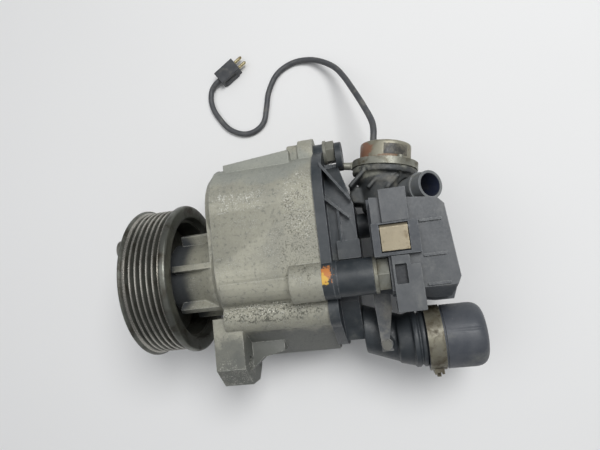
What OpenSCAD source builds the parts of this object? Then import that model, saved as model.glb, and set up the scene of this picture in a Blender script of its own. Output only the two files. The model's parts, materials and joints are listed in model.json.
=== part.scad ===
// Belt-driven twin-rotor supercharger, laid on its side.
// The origin is the centre of the belt grooves on the drive shaft's axis.
// +X runs along the shaft to the rear, +Y to the driven rotor, +Z up from the surface it lies on.

/* [Belt pulley] */
// Radius of both pulley flanges
flange_r = 47.5; // [40:0.5:60]
// Number of belt grooves
grooves = 6; // [4:1:8]
// Distance from one groove to the next
groove_pitch = 3.56; // [3:0.01:5]
// Radius of the groove crests
crest_r = 45.6; // [38:0.1:58]
// Depth of a groove
groove_depth = 3; // [2:0.1:4]
// Width of the front flange
front_flange_w = 3.4; // [2:0.1:6]
// Width of the rear flange
rear_flange_w = 5.4; // [2:0.1:8]
// Radius of the hollow inside the pulley
pulley_hollow_r = 39.5; // [34:0.5:42]
// Radius of the circle the pulley bolts are on
pulley_bolt_pcr = 31; // [25:0.5:34]

/* [Rotors] */
// Distance between the two rotor axes
rotor_gap = 36; // [30:1:50]
// Number of lobes on each rotor
lobes = 3; // [2:1:4]
// Space between a rotor and what it passes
rotor_clearance = 0.35; // [0.3:0.05:0.8]
// Front end of the rotor chamber
chamber_x0 = 48; // [44:1:60]
// Rear end of the rotor chamber
chamber_x1 = 90; // [80:1:96]
// Teeth on each timing gear
gear_teeth = 20; // [16:1:30]

/* [Shafts and bearings] */
// Radius of the drive shaft
drive_shaft_r = 8.5; // [6:0.5:10]
// Radius of the driven shaft
driven_shaft_r = 6; // [5:0.5:10]
// Outer radius of the drive shaft's bearings
drive_bearing_r = 17.5; // [14:0.5:20]
// Outer radius of the driven shaft's bearings
driven_bearing_r = 14; // [12:0.5:16]

/* [Casing] */
// Front face of the casing
casing_x0 = 35; // [30:1:44]
// Rear face of the casing
casing_x1 = 102.5; // [96:0.5:110]
// Outer radius of the casing round each rotor
casing_r = 31; // [28:0.5:36]
// Height of the surface the part lies on
ground_z = -52; // [-60:1:-48]
// Radius of the tapped holes in the bosses below
boss_hole_r = 3.4; // [2.5:0.1:5]
// Radius of the mounting lug's hole
lug_hole_r = 4.5; // [3:0.5:6]

/* [Rear cover and long bolt] */
// Rear face of the cover's rim
rim_x1 = 108.5; // [106:0.5:112]
// Rear face of the cover
cover_x1 = 124; // [118:1:130]
// Height of the long bolt's axis
long_bolt_y = -12.2; // [-20:0.1:0]
// Distance of the long bolt from the rotor plane
long_bolt_z = 27.5; // [20:0.5:32]
// Radius of the sleeve round the long bolt
sleeve_r = 10.4; // [9:0.2:14]

/* [Filter box] */
// Left side of the filter box
box_x0 = 132; // [128:1:140]
// Right side of the filter box
box_x1 = 176.5; // [170:0.5:190]
// Top face of the filter box
box_top = 38; // [30:1:44]
// Outer radius of the intake spigot
spigot_r = 8.3; // [6:0.1:12]
// Wall of the intake spigot
spigot_wall = 1.5; // [1:0.1:3]
// Tilt of the spigot away from straight up
spigot_tilt = 34; // [0:1:80]

/* [Shut-off valve] */
// Turn of the valve's axis away from the Y axis
valve_turn = 10; // [0:1:20]
// Radius of the solenoid can
can_r = 15.8; // [12:0.2:20]
// Length of the solenoid can
can_l = 11.5; // [10:0.5:24]
// Radius of the valve's flange
valve_flange_r = 20.4; // [17:0.2:25]
// Travel of the valve plunger
valve_travel = 3; // [1:0.5:4]

/* [Outlet] */
// Radius of the silencer pot
pot_r = 18.6; // [14:0.2:24]
// Right end of the silencer pot
pot_x1 = 189.5; // [180:0.5:200]
// Y of the pot's axis
pot_y = -52.8; // [-60:0.2:-46]
// Z of the pot's axis
pot_z = -4; // [-20:1:10]
// Radius of the outlet tube
outlet_r = 14; // [10:0.5:18]

/* [Lead] */
// Diameter of the electrical lead
lead_d = 4.2; // [3:0.1:6]
// Length of the plug body
plug_l = 18; // [12:0.5:30]

/* [Hidden] */
$fn = 64;
gap = 0.3;
groove_w = grooves * groove_pitch;
pulley_x0 = -groove_w / 2 - front_flange_w;
pulley_x1 = groove_w / 2 + rear_flange_w;
web_x1 = pulley_x0 + 6;
pitch_r = rotor_gap / 2;
cusp_r = pitch_r / lobes / 2;
rotor_r = pitch_r + 2 * cusp_r;
bore_r = rotor_r + rotor_clearance;
recess_r = casing_r - 3;
plate_x1 = casing_x1 - 0.3;
gear_x0 = 105;
gear_x1 = 113;
nose_x0 = 6;
nose_r = 22;
top_bolt_y = 68;
boss_x0 = 46;
boss_x1 = 92;
boss_y0 = -16;
boss_y1 = 50;
cover_screw_at = [[-30, -26.6], [52, -26.5]];
notch_x = 139.7;
notch_y = -3.4;
long_bolt_x1 = 139.3;
sleeve_x1 = 130.8;
valve_end = [147.9, 67.65, 0];
bush_r = 3.6;
seat_z = can_l + 16.8;
spigot_foot = [151.6, 34.5, 0.1];
spigot_l = 30;
clip_y = 11.6;
belly_y = -28.5;
belly_z = 13.5;
lug_x0 = 30.5;
lug_x1 = 48.7;
bend_x = 142;
strut_x = 132.6;
strut_y = -52.4;
bend_angle = -20;
outlet_z = -11;
clamp_x0 = 155;
clamp_x1 = 165;
plug_turn = 33;
plug_end = [28, 155.6, -47.4];
lead_path = [
    [140.3, 70.62, -3], [140.9, 74.3, -3], [141.7, 79.2, -3.2], [141.8, 85, -5.2], [140.6, 91.5, -9], [138.8, 98, -13.5],
    [135.8, 107.5, -19], [131.4, 119.8, -25.5], [126.7, 132, -32], [120.9, 143.3, -38.5],
    [112.9, 151.7, -43.5], [103.7, 157.6, -47.5], [94, 159.8, -49.4], [85.7, 158.9, -49.9],
    [78, 155.5, -49.9], [72.6, 150.8, -49.9], [68.6, 144.5, -49.9], [65.4, 137.2, -49.9],
    [63.9, 130.4, -49.9], [62.3, 123.7, -49.9], [60.4, 117.1, -49.9], [56.3, 112.2, -49.9],
    [50.2, 109.3, -49.9], [43.6, 109, -49.9], [36.8, 111.4, -49.9], [30.3, 116.3, -49.9],
    [25.1, 123.5, -49.9], [20.8, 131.4, -49.9], [18.9, 138.1, -49.9], [18.7, 144, -49.8],
    [20.2, 149.2, -49.2], [23.4, 152.9, -48.2], plug_end];

// A bar along X from x0 to x1.
module bar(x0, x1, r, y = 0, z = 0) {
    translate([x0, y, z])
        rotate([0, 90, 0])
            cylinder(h = x1 - x0, r = r);
}

// A cone along X whose radius goes from ra at x0 to rb at x1.
module taper(x0, x1, ra, rb, y = 0, z = 0) {
    translate([x0, y, z])
        rotate([0, 90, 0])
            cylinder(h = x1 - x0, r1 = ra, r2 = rb);
}

// A flat ring along X.
module ring(x0, x1, ro, ri, y = 0, z = 0) {
    difference() {
        bar(x0, x1, ro, y, z);
        bar(x0 - 1, x1 + 1, ri, y, z);
    }
}

// A shape drawn in Y and Z, carried along X from x0 to x1.
module along_x(x0, x1) {
    translate([x0, 0, 0])
        rotate([90, 0, 90])
            linear_extrude(x1 - x0)
                children();
}

// A block between two corners.
module block(a, b) {
    translate(a)
        cube(b - a);
}

// A six-sided bar along X.
module hex_bar(x0, x1, flats, y = 0, z = 0) {
    translate([x0, y, z])
        rotate([0, 90, 0])
            cylinder(h = x1 - x0, r = flats / sqrt(3), $fn = 6);
}

// The outline round both rotor axes at radius r.
module pair_outline(r) {
    circle(r);
    translate([rotor_gap, 0])
        circle(r);
    translate([0, -r])
        square([rotor_gap, 2 * r]);
}

// Moves its children to the valve's axis: local +Z runs from the can's end into the valve.
module on_valve() {
    translate(valve_end)
        rotate([0, 0, -valve_turn])
            rotate([90, 0, 0])
                children();
}

// A round tube swept along a path, each ring square to the path there.
module swept(path, r, sides, up = [0, 0, 1]) {
    n = len(path);
    dirs = [for (i = [0:n - 1]) path[min(i + 1, n - 1)] - path[max(i - 1, 0)]];
    side = [for (d = dirs) cross(d, up) / norm(cross(d, up))];
    lift = [for (i = [0:n - 1]) cross(side[i], dirs[i]) / norm(cross(side[i], dirs[i]))];
    points = [for (i = [0:n - 1]) for (k = [0:sides - 1])
        path[i] + r * (cos(k * 360 / sides) * side[i] + sin(k * 360 / sides) * lift[i])];
    walls = [for (i = [0:n - 2]) for (k = [0:sides - 1])
        [i * sides + k, i * sides + (k + 1) % sides,
         (i + 1) * sides + (k + 1) % sides, (i + 1) * sides + k]];
    start = [for (k = [0:sides - 1]) sides - 1 - k];
    end = [for (k = [0:sides - 1]) (n - 1) * sides + k];
    polyhedron(points, concat(walls, [start], [end]), convexity = 6);
}

// ---------------------------------------------------------------- housing

// The casing's main outline, with the skirt that holds the outlet gallery.
module casing_outline() {
    pair_outline(casing_r);
    translate([belly_y, belly_z])
        circle(9.5);
    polygon([[-17, 22], [-21, 18], [-36.5, 16], [-38, 13], [-56, -14], [-56, -24],
        [-30, -31], [0, -31], [0, 0]]);
}

// The mounting lug's outline.
module lug_outline() {
    polygon([[-28, 19], [-58.5, 19], [-70, 6], [-70, -9], [-63, -16], [-50, -22], [-28, -22]]);
}

// The bosses under the casing, at the corners of a rectangle.
module at_bosses() {
    for (x = [boss_x0, boss_x1])
        for (y = [boss_y0, boss_y1])
            translate([x, y, ground_z])
                children();
}

module rotor_casing() {
    color("#8f8c80")
        difference() {
            union() {
                along_x(casing_x0 + 4, casing_x1) casing_outline();
                taper(casing_x0, casing_x0 + 4.5, casing_r - 4, casing_r + 0.2);
                taper(casing_x0, casing_x0 + 4.5, casing_r - 4, casing_r + 0.2, rotor_gap);
                along_x(casing_x0, casing_x0 + 5)
                    translate([0, -casing_r + 4])
                        square([rotor_gap, 2 * casing_r - 8]);
                // nose with its ribs
                bar(nose_x0, casing_x0 + 1, nose_r);
                taper(casing_x0 - 11, casing_x0 + 1, nose_r - 1, nose_r + 6);
                for (a = [20:60:320])
                    rotate([a, 0, 0])
                        along_x(casing_x0 - 24, casing_x0 + 2)
                            translate([nose_r - 2, -1.8])
                                square([8, 3.6]);
                // top rail and top bolt bosses
                translate([0, 0, -10])
                    linear_extrude(27)
                        polygon([[45.5, 52], [45.5, 66.8], [88, 70.4], [88, 52]]);
                bar(85.5, 93.5, 9.2, top_bolt_y);
                bar(93, casing_x1, 11.4, top_bolt_y);
                // side boss for the long bolt
                bar(84, casing_x1, 11.2, long_bolt_y, long_bolt_z);
                bar(casing_x0 + 6, 86, 8.4, long_bolt_y - 0.2, 22.8);
                bar(86, casing_x1, 6, cover_screw_at[1][0], cover_screw_at[1][1]);
                // mounting lug and its web
                along_x(lug_x0, lug_x1) lug_outline();
                translate([lug_x1 - 1, -45, -9])
                    linear_extrude(11)
                        polygon([[0, -17], [0, 6], [22, 6], [22, -7], [8, -10]]);
                // base with the pads it is bolted down by
                block([39, -24, ground_z + 3], [100, 59, -18]);
                at_bosses()
                    cylinder(h = 4, r = 7.5);
            }
            // rotor chamber, the plate's recess, bearing seats and shaft holes
            along_x(chamber_x0, chamber_x1 + 1) {
                circle(bore_r);
                translate([rotor_gap, 0])
                    circle(bore_r);
            }
            along_x(chamber_x1, casing_x1 + 1) pair_outline(recess_r);
            bar(nose_x0 - 1, nose_x0 + 13, drive_bearing_r);
            bar(nose_x0 - 1, chamber_x0 + 1, 14);
            bar(chamber_x0 - 10, chamber_x0 + 1, driven_bearing_r, rotor_gap);
            // inlet space in the base and its slot into the chamber
            block([55, -8, ground_z + 6], [84, 42, -33.5]);
            block([60, 12, -35], [82, 24, -15]);
            // outlet gallery and its slot, long bolt, top bolt and lug holes
            block([62, -36, -14], [80, -20, -8]);
            block([60, -50, -22], [casing_x1 + 1, -32, -6]);
            bar(87, casing_x1 + 1, 5.05, long_bolt_y, long_bolt_z);
            bar(88, casing_x1 + 1, 4.05, top_bolt_y + 1);
            bar(20, 60, lug_hole_r, -57, 7);
            at_bosses()
                translate([0, 0, -1])
                    cylinder(h = 15, r = boss_hole_r);
            // dowel and cover screw holes
            for (y = [0, rotor_gap])
                bar(chamber_x1 - 5, chamber_x1 + 5, 2, y, -bore_r - 2.6);
            for (p = cover_screw_at)
                bar(casing_x1 - 14, casing_x1 + 1, 2.55, p[0], p[1]);
        }
}

module casing_dowels() {
    color("#b9b9b4")
        for (y = [0, rotor_gap])
            bar(chamber_x1 - 5, chamber_x1 + 5, 2, y, -bore_r - 2.6);
}

module rear_bearing_plate() {
    color("#a5a49d")
        difference() {
            along_x(chamber_x1, plate_x1) pair_outline(recess_r - 0.05);
            bar(chamber_x1 + 2, plate_x1 + 1, drive_bearing_r);
            bar(chamber_x1 + 2, plate_x1 + 1, driven_bearing_r, rotor_gap);
            bar(chamber_x1 - 1, plate_x1, drive_shaft_r + gap);
            bar(chamber_x1 - 1, plate_x1, driven_shaft_r + gap, rotor_gap);
            // inlet and outlet ports on either side of the rotors' meeting line
            for (z = [-21.5, 21.5])
                bar(chamber_x1 - 1, plate_x1 + 1, 4, rotor_gap / 2 + 2, z);
            for (y = [0, rotor_gap])
                bar(chamber_x1 - 1, chamber_x1 + 5, 2, y, -bore_r - 2.6);
            bar(chamber_x1 - 1, plate_x1 + 1, 5.3, long_bolt_y, long_bolt_z);
        }
}

// The outer ring of a ball bearing whose bore is ri and outside is ro.
module outer_ring(x0, w, ro, ri, y = 0) {
    m = (ro + ri) / 2;
    difference() {
        ring(x0, x0 + w, ro, m + 2, y);
        translate([x0 + w / 2, y, 0])
            rotate([0, 90, 0])
                rotate_extrude()
                    translate([m, 0])
                        circle(r = 2.9, $fn = 24);
    }
}

// The inner ring of the same bearing.
module inner_ring(x0, w, ro, ri, y = 0) {
    m = (ro + ri) / 2;
    difference() {
        ring(x0, x0 + w, m - 2, ri, y);
        translate([x0 + w / 2, y, 0])
            rotate([0, 90, 0])
                rotate_extrude()
                    translate([m, 0])
                        circle(r = 2.9, $fn = 24);
    }
}

// The balls of the same bearing.
module balls(x0, w, ro, ri, count, y = 0) {
    m = (ro + ri) / 2;
    for (i = [0:count - 1])
        translate([x0 + w / 2, y, 0])
            rotate([i * 360 / count, 0, 0])
                translate([0, m, 0])
                    sphere(r = 2.88, $fn = 24);
}

nose_bearing_x = nose_x0 + 3;
rear_bearing_x = chamber_x1 + 2;
driven_front_x = chamber_x0 - 10;

module outer_rings() {
    color("#c9c9c6") {
        outer_ring(nose_bearing_x, 10, drive_bearing_r, drive_shaft_r);
        outer_ring(rear_bearing_x, 10, drive_bearing_r, drive_shaft_r);
        outer_ring(driven_front_x, 8, driven_bearing_r, driven_shaft_r, rotor_gap);
        outer_ring(rear_bearing_x, 8, driven_bearing_r, driven_shaft_r, rotor_gap);
    }
}

module shaft_seals() {
    color("#20201f") {
        ring(24, 31, 14, drive_shaft_r + 0.05);
        ring(41, 47, 14, drive_shaft_r + 0.05);
        ring(100.2, 102, driven_bearing_r, driven_shaft_r + gap, rotor_gap);
    }
}

module cover_gasket() {
    color("#33332f")
        difference() {
            along_x(plate_x1, casing_x1) pair_outline(recess_r - 0.1);
            along_x(plate_x1 - 1, casing_x1 + 1) pair_outline(recess_r - 4);
            bar(plate_x1 - 1, casing_x1 + 1, 5.3, long_bolt_y, long_bolt_z);
        }
}

// The rim's outline: the casing's, a little larger, with ears for the bolts.
module rim_outline() {
    pair_outline(casing_r + 1.6);
    translate([belly_y, belly_z])
        circle(11.1);
    translate([long_bolt_y, long_bolt_z])
        circle(10.9);
    polygon([[-17, 23], [-22, 20], [-38, 17.5], [-40, 15], [-52, -4], [-54, -16],
        [-54, -24], [-30, -32], [0, -32], [0, 0]]);
    translate([top_bolt_y - 2, 0])
        circle(9);
    translate(cover_screw_at[1])
        circle(6.5);
}

// The cover's outline behind the rim.
module cover_outline(r) {
    circle(r);
    translate([rotor_gap - 1.5, 0])
        circle(r);
    translate([0, -r])
        square([rotor_gap - 1.5, 2 * r]);
}

// What is cut off the cover's back, which slopes towards the rim at its far end.
module behind_slope(d) {
    translate([-d, 0, -30])
        linear_extrude(60)
            polygon([[cover_x1, 30], [cover_x1 - 7.5, 58], [cover_x1 - 7.5, 80], [160, 80],
                [160, 30]]);
}

module rear_cover() {
    color("#26282a")
        difference() {
            union() {
                along_x(casing_x1, rim_x1) rim_outline();
                along_x(rim_x1 - 1, cover_x1) cover_outline(23.5);
                // gusset ribs from the rim to the cover's back, and a rib beside the rim
                linear_extrude(28.5)
                    polygon([[rim_x1 - 1, 56.8], [cover_x1 - 1, 33.2], [cover_x1 - 1, 31.2],
                        [rim_x1 - 1, 54]]);
                linear_extrude(28)
                    polygon([[rim_x1 - 1, 37.2], [cover_x1 - 3, 23], [cover_x1 - 3, 21.4],
                        [rim_x1 - 1, 34.8]]);
                block([114.2, 9, 0], [115.6, 30.5, 26.5]);
                // block beside the ribs, hollowed where the sleeve passes
                difference() {
                    block([112, -4, 14], [cover_x1 + 1, 9.4, 26]);
                    bar(rim_x1, cover_x1 + 2, sleeve_r + 0.65, long_bolt_y, long_bolt_z);
                }
                // lower shell
                along_x(rim_x1 - 1, 119.5)
                    polygon([[-18, 12], [-26, 12], [-50, -2], [-52, -22], [-18, -22]]);
                // ear that carries the hanger eye
                block([rim_x1 - 1, 51, -5], [113, 60, 5]);
            }
            // gear chamber and the space inside the lower shell
            difference() {
                along_x(casing_x1 - 1, cover_x1 - 3) pair_outline(20.1);
                behind_slope(2.5);
            }
            behind_slope(0);
            block([casing_x1 - 1, -47, -19.5], [117, -27, -6]);
            bar(casing_x1 - 1, rim_x1 + 30, 5.05, long_bolt_y, long_bolt_z);
            bar(casing_x1 - 1, rim_x1 + 1, 4.2, top_bolt_y + 1);
            // ways to the filter box, the valve and the outlet elbow
            bar(cover_x1 - 5, cover_x1 + 1, 6, rotor_gap / 2 + 2, -8);
            bar(cover_x1 - 6, cover_x1 + 1, 3.5, 36, -1);
            bar(115, 125, 6.5, -40, -13);
            for (p = cover_screw_at)
                bar(casing_x1 - 1, rim_x1 + 1, 2.6, p[0], p[1]);
        }
}

module cover_screws() {
    color("#9c9a8c")
        for (p = cover_screw_at) {
            bar(casing_x1 - 13, rim_x1 + 0.2, 2.5, p[0], p[1]);
            bar(rim_x1, rim_x1 + 4.5, 4, p[0], p[1]);
        }
}

module bolt_sleeve() {
    color("#2c2d2e")
        difference() {
            union() {
                bar(rim_x1, sleeve_x1, sleeve_r, long_bolt_y, long_bolt_z);
                bar(rim_x1, rim_x1 + 2.5, sleeve_r + 0.6, long_bolt_y, long_bolt_z);
            }
            bar(rim_x1 - 1, sleeve_x1 + 1, 5.05, long_bolt_y, long_bolt_z);
            along_x(rim_x1 - 1, cover_x1 + 1.5) cover_outline(23.8);
        }
}

module long_bolt() {
    color("#a9a576")
        union() {
            bar(88, sleeve_x1 + 3, 5, long_bolt_y, long_bolt_z);
            difference() {
                hex_bar(sleeve_x1 + 2.2, long_bolt_x1, 17, long_bolt_y, long_bolt_z);
                bar(long_bolt_x1 - 1.4, long_bolt_x1 + 1, 5.2, long_bolt_y, long_bolt_z);
            }
        }
}

module long_bolt_washer() {
    color("#77776c")
        ring(sleeve_x1, sleeve_x1 + 2.2, 10.4, 5.05, long_bolt_y, long_bolt_z);
}

module top_bolt() {
    color("#8c8a7c")
        bar(89, 118.5, 4, top_bolt_y + 1);
}

module top_nut() {
    color("#8c8a7c")
        difference() {
            union() {
                hex_bar(rim_x1 + 1.6, rim_x1 + 7, 13, top_bolt_y + 1);
                bar(rim_x1, rim_x1 + 1.8, 8, top_bolt_y + 1);
            }
            bar(rim_x1 - 1, rim_x1 + 8, 4.1, top_bolt_y + 1);
        }
}

module hanger_eye() {
    color("#202122")
        difference() {
            union() {
                bar(116, 120, 9.6, top_bolt_y - 3);
                block([113.05, 52.5, -4.5], [120, 60, 4.5]);
            }
            along_x(112, 121) cover_outline(23.52);
            bar(115, 121, 4.3, top_bolt_y + 1);
        }
}

// ---------------------------------------------------------------- shut-off valve

module solenoid_can() {
    color("#a39c78")
        on_valve()
            difference() {
                union() {
                    translate([0, 0, 0.8]) cylinder(h = can_l - 0.8, r = can_r);
                    cylinder(h = 1, r1 = can_r - 1, r2 = can_r);
                }
                translate([0, 0, 1.5]) cylinder(h = can_l, r = can_r - 1.2);
                translate([-8, -3, -1]) cylinder(h = 4, r = bush_r, $fn = 32);
            }
}

module coil() {
    color("#7a4a2a")
        on_valve()
            difference() {
                translate([0, 0, 1.9]) cylinder(h = can_l - 2, r = can_r - 1.8);
                translate([0, 0, 1]) cylinder(h = can_l, r = 5.05);
            }
}

module pole_piece() {
    color("#8e8e8a")
        on_valve()
            translate([0, 0, 1.5]) cylinder(h = can_l - 7.5, r = 5);
}

module valve_flange() {
    color("#8f8a6c")
        on_valve()
            difference() {
                union() {
                    translate([0, 0, can_l]) cylinder(h = 4.4, r = valve_flange_r);
                    translate([-21, -2.5, can_l]) cube([10, 5, 4.4]);
                }
                translate([0, 0, can_l - 1]) cylinder(h = 7, r = 5.15);
                for (a = [60, 180, 300])
                    rotate([0, 0, a])
                        translate([valve_flange_r - 2.6, 0, can_l - 1])
                            cylinder(h = 7, r = 1.6);
            }
}

module flange_screws() {
    color("#b0aa8a")
        on_valve()
            for (a = [60, 180, 300])
                rotate([0, 0, a])
                    translate([valve_flange_r - 2.6, 0, 0]) {
                        translate([0, 0, can_l - 1.6]) cylinder(h = 1.6, r = 1.9);
                        translate([0, 0, can_l - 0.1]) cylinder(h = 8, r = 1.5);
                    }
}

module valve_body() {
    color("#55524a")
        difference() {
            on_valve()
                union() {
                    translate([0, 0, can_l + 4.4]) cylinder(h = 4, r = valve_flange_r - 0.4);
                    translate([0, 0, can_l + 8]) cylinder(h = 6, r = 16.6);
                    translate([0, 0, can_l + 13.5]) cylinder(h = 18, r1 = 16.2, r2 = 12.5);
                    // oblique ribs and the foot towards the cover
                    for (x = [-13, -2, 9])
                        translate([x, 0, can_l + 9])
                            rotate([0, -38, 0])
                                translate([-1.2, 4, -2]) cube([2.4, 12.5, 14]);
                    translate([-20.5, -12, can_l + 17]) cube([14, 20, 10]);
                }
            // plunger bore, valve seat and way out to the cover
            on_valve() {
                translate([0, 0, can_l + 3]) cylinder(h = seat_z - can_l - 3, r = 8);
                translate([0, 0, seat_z - 1]) cylinder(h = 20, r = 5.5);
                for (a = [60, 180, 300])
                    rotate([0, 0, a])
                        translate([valve_flange_r - 2.6, 0, can_l + 3])
                            cylinder(h = 7, r = 1.55);
            }
            bar(cover_x1 - 4, 142, 3.5, 36, -1);
            // flat faces on the cover and the filter box, and room for the spigot
            difference() {
                block([cover_x1 - 12, 10, -30], [cover_x1 + 0.02, 60, 30]);
                behind_slope(-0.02);
            }
            translate([0, 0, -30]) linear_extrude(60) box_outline(-0.02);
            translate([0, 0, 15.7]) linear_extrude(5) box_outline(-1);
            on_spigot() cylinder(h = spigot_l, r = spigot_r + 0.4);
        }
}

module valve_plunger() {
    color("#b4b4ae")
        on_valve()
            union() {
                translate([0, 0, can_l - 5.6 + valve_travel]) cylinder(h = 19.6 - valve_travel, r = 4.8);
                translate([0, 0, seat_z - 2.8]) cylinder(h = 2.4, r = 7.6);
            }
}

module valve_spring() {
    color("#9a9a94")
        on_valve()
            swept([for (i = [0:60])
                [6.4 * cos(i * 30), 6.4 * sin(i * 30), can_l + 5.1 + i * (seat_z - can_l - 8.6) / 60]],
                0.6, 8);
}

module valve_stay() {
    color("#8a8466")
        difference() {
            on_valve()
                translate([-21, 0, can_l + 2.2])
                    rotate([0, -90, 0])
                        cylinder(h = 7, r = 2.4);
            block([110, 50, -5], [120.02, 70, 5]);
        }
}

module can_label() {
    color("#2b2b29")
        on_valve()
            difference() {
                intersection() {
                    translate([0, 0, 2.6]) cylinder(h = 6.4, r = can_r + 0.25);
                    translate([-1, 2, 0]) cube([14, 20, 20]);
                }
                translate([0, 0, 2]) cylinder(h = 9, r = can_r);
            }
}

module lead_bush() {
    color("#1d1d1d")
        on_valve()
            translate([-8, -3, -1.6])
                difference() {
                    cylinder(h = 3.4, r = bush_r, $fn = 32);
                    translate([0, 0, 1]) cylinder(h = 3, r = 1.4, $fn = 32);
                }
}

// ---------------------------------------------------------------- filter box

// The box's plan outline, seen from above, drawn in by d.
module box_outline(d) {
    polygon([[box_x0 + d, -23 + d], [box_x0 + 30, -29 + d], [171.5 - d, -29 + d],
        [box_x1 - d, -17.5], [box_x1 - 3 - d, 22.5 - d], [box_x1 - 6.5 - d, 26.6 - d],
        [box_x0 + d, 31 - d]]);
}

// The same outline with the corner left out that the long bolt's head stands in; n draws in the
// corner's walls.
module notched_outline(d, n = 0) {
    difference() {
        box_outline(d);
        translate([box_x0 - 5, -40])
            square([notch_x + n - box_x0 + 5, notch_y + n + 40]);
    }
}

module filter_box() {
    color("#3d4145")
        difference() {
            union() {
                translate([0, 0, -20]) linear_extrude(36) box_outline(0);
                translate([0, 0, 16]) linear_extrude(4) notched_outline(-0.8);
                bar(cover_x1, box_x0 + 1, 8, rotor_gap / 2 + 2, -8);
            }
            translate([0, 0, -17.5]) linear_extrude(31.5) box_outline(2.5);
            translate([0, 0, 13]) linear_extrude(8) notched_outline(2.5, 2.5);
            // nozzle to the inlet port, hole to the valve and seat of the intake spigot
            bar(cover_x1 - 1, box_x0 + 4, 6, rotor_gap / 2 + 2, -8);
            on_valve() translate([0, 0, seat_z]) cylinder(h = 18, r = 5.5);
            on_spigot() translate([0, 0, 5.9]) cylinder(h = spigot_l, r = spigot_r + 0.05);
            on_spigot() translate([0, 0, spigot_l - 9.1]) cylinder(h = 20, r = spigot_r + 1.4);
        }
}

module filter_lid() {
    color("#45494e")
        difference() {
            union() {
                translate([0, 0, 20.1]) linear_extrude(box_top - 20.1) notched_outline(1.2);
                for (y = [13, -5.4, -20.6])
                    block([158.2, y, box_top - 1], [169.8, y + 1.2, box_top + 1.3]);
            }
            translate([0, 0, 19]) linear_extrude(10) notched_outline(3.8, 2.6);
            intersection() {
                translate([0, 0, 19]) linear_extrude(box_top - 21.5) notched_outline(3.8, 2.6);
                block([box_x0, -18, 18], [box_x1, 40, box_top]);
            }
            // the lid's near edge slopes away
            along_x(box_x0 - 5, box_x1 + 5)
                polygon([[-21.5, box_top + 2], [-21.5, box_top], [-31, 23], [-45, 23],
                    [-45, box_top + 2]]);
            // room for the intake spigot and the hose on it
            on_spigot()
                translate([0, 0, 5]) cylinder(h = 55, r = spigot_r + 2.4);
        }
}

module filter_pad() {
    color("#c9b98f")
        difference() {
            translate([0, 0, -10])
                linear_extrude(14)
                    box_outline(3.2);
            on_spigot() cylinder(h = spigot_l, r = spigot_r + 0.5);
        }
}

// Moves its children to the spigot's axis: local +Z points out of its mouth.
module on_spigot() {
    translate(spigot_foot)
        rotate([0, spigot_tilt, 0])
            children();
}

module intake_spigot() {
    color("#6d7276")
        on_spigot()
            difference() {
                union() {
                    translate([0, 0, 6]) cylinder(h = spigot_l - 6, r = spigot_r);
                    translate([0, 0, spigot_l - 9]) cylinder(h = 1.6, r = spigot_r + 0.9);
                }
                translate([0, 0, 7.5]) cylinder(h = spigot_l, r = spigot_r - spigot_wall);
                // side opening into the filter box
                translate([-3, -10, 8.5]) cube([6, 8, 7]);
            }
}

module lid_straps() {
    color("#4a4e52") {
        // upper strap, hooked over the box's far side
        union() {
            block([138.6, 14.9, box_top + 0.05], [153.2, 33, box_top + 3]);
            block([138.6, 31.4, 14.2], [149.2, 33, box_top + 1]);
            block([138.6, 30.6, 14.2], [149.2, 33, 15.8]);
        }
        // lower strap with its window, hooked over the near side
        difference() {
            union() {
                block([141, -33, box_top + 0.05], [156, -3.1, box_top + 3]);
                block([141, -33, 14.2], [156, -30.4, box_top + 3]);
                block([141, -33, 14.2], [156, -28.2, 15.8]);
            }
            block([142.4, -18.3, box_top - 1], [148.4, -8, box_top + 4]);
            block([150.6, -8.3, box_top - 1], [157, -3, box_top + 4]);
        }
    }
}

module clip_frame() {
    color("#34373a")
        difference() {
            block([box_x0 + 0.6, -3, box_top + 0.05], [157.3, 14.8, box_top + 4]);
            block([136.6, -1.4, box_top + 1], [152, 13.9, box_top + 5]);
            bar(135.6, 153, 0.82, clip_y, box_top + 3);
        }
}

module clip_pin() {
    color("#8d8d86")
        bar(135.7, 152.9, 0.8, clip_y, box_top + 3);
}

module spring_clip() {
    color("#b89d6a")
        difference() {
            union() {
                bar(137, 151.6, 1.9, clip_y, box_top + 3);
                block([137, 0.2, box_top + 4.1], [151.6, clip_y, box_top + 4.9]);
                block([137, -0.6, box_top + 1.6], [151.6, 0.2, box_top + 4.9]);
            }
            bar(136, 152, 0.85, clip_y, box_top + 3);
        }
}

// ---------------------------------------------------------------- outlet

// The slanting run of the outlet tube, at radius r.
module outlet_run(r) {
    translate([bend_x, pot_y, outlet_z])
        rotate([0, -90, bend_angle])
            translate([0, 0, -4])
                cylinder(h = 44, r = r);
}

module outlet_elbow() {
    color("#232527")
        difference() {
            union() {
                outlet_run(outlet_r);
                taper(bend_x - 3, bend_x + 7, outlet_r, 16.5, pot_y, (pot_z + outlet_z) / 2);
                bar(bend_x + 6, bend_x + 9, 16.5, pot_y, pot_z);
                bar(bend_x + 10.5, clamp_x0, 16.5, pot_y, pot_z);
                bar(bend_x + 8, clamp_x1 + 3, 15, pot_y, pot_z);
                // boss that the strut is screwed to
                translate([strut_x, strut_y, -4]) cylinder(h = 8, r = 3.8);
            }
            difference() {
                outlet_run(outlet_r - 3.5);
                block([80, -90, -40], [122.5, 0, 30]);
            }
            bar(119, 124, 6.5, -40, -13);
            translate([strut_x, strut_y, 0.6]) cylinder(h = 8, r = 1.7);
            bar(bend_x + 1, clamp_x1 + 4, 10, pot_y, pot_z - 1);
            block([80, -90, -40], [119.5, 0, 30]);
        }
}

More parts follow.
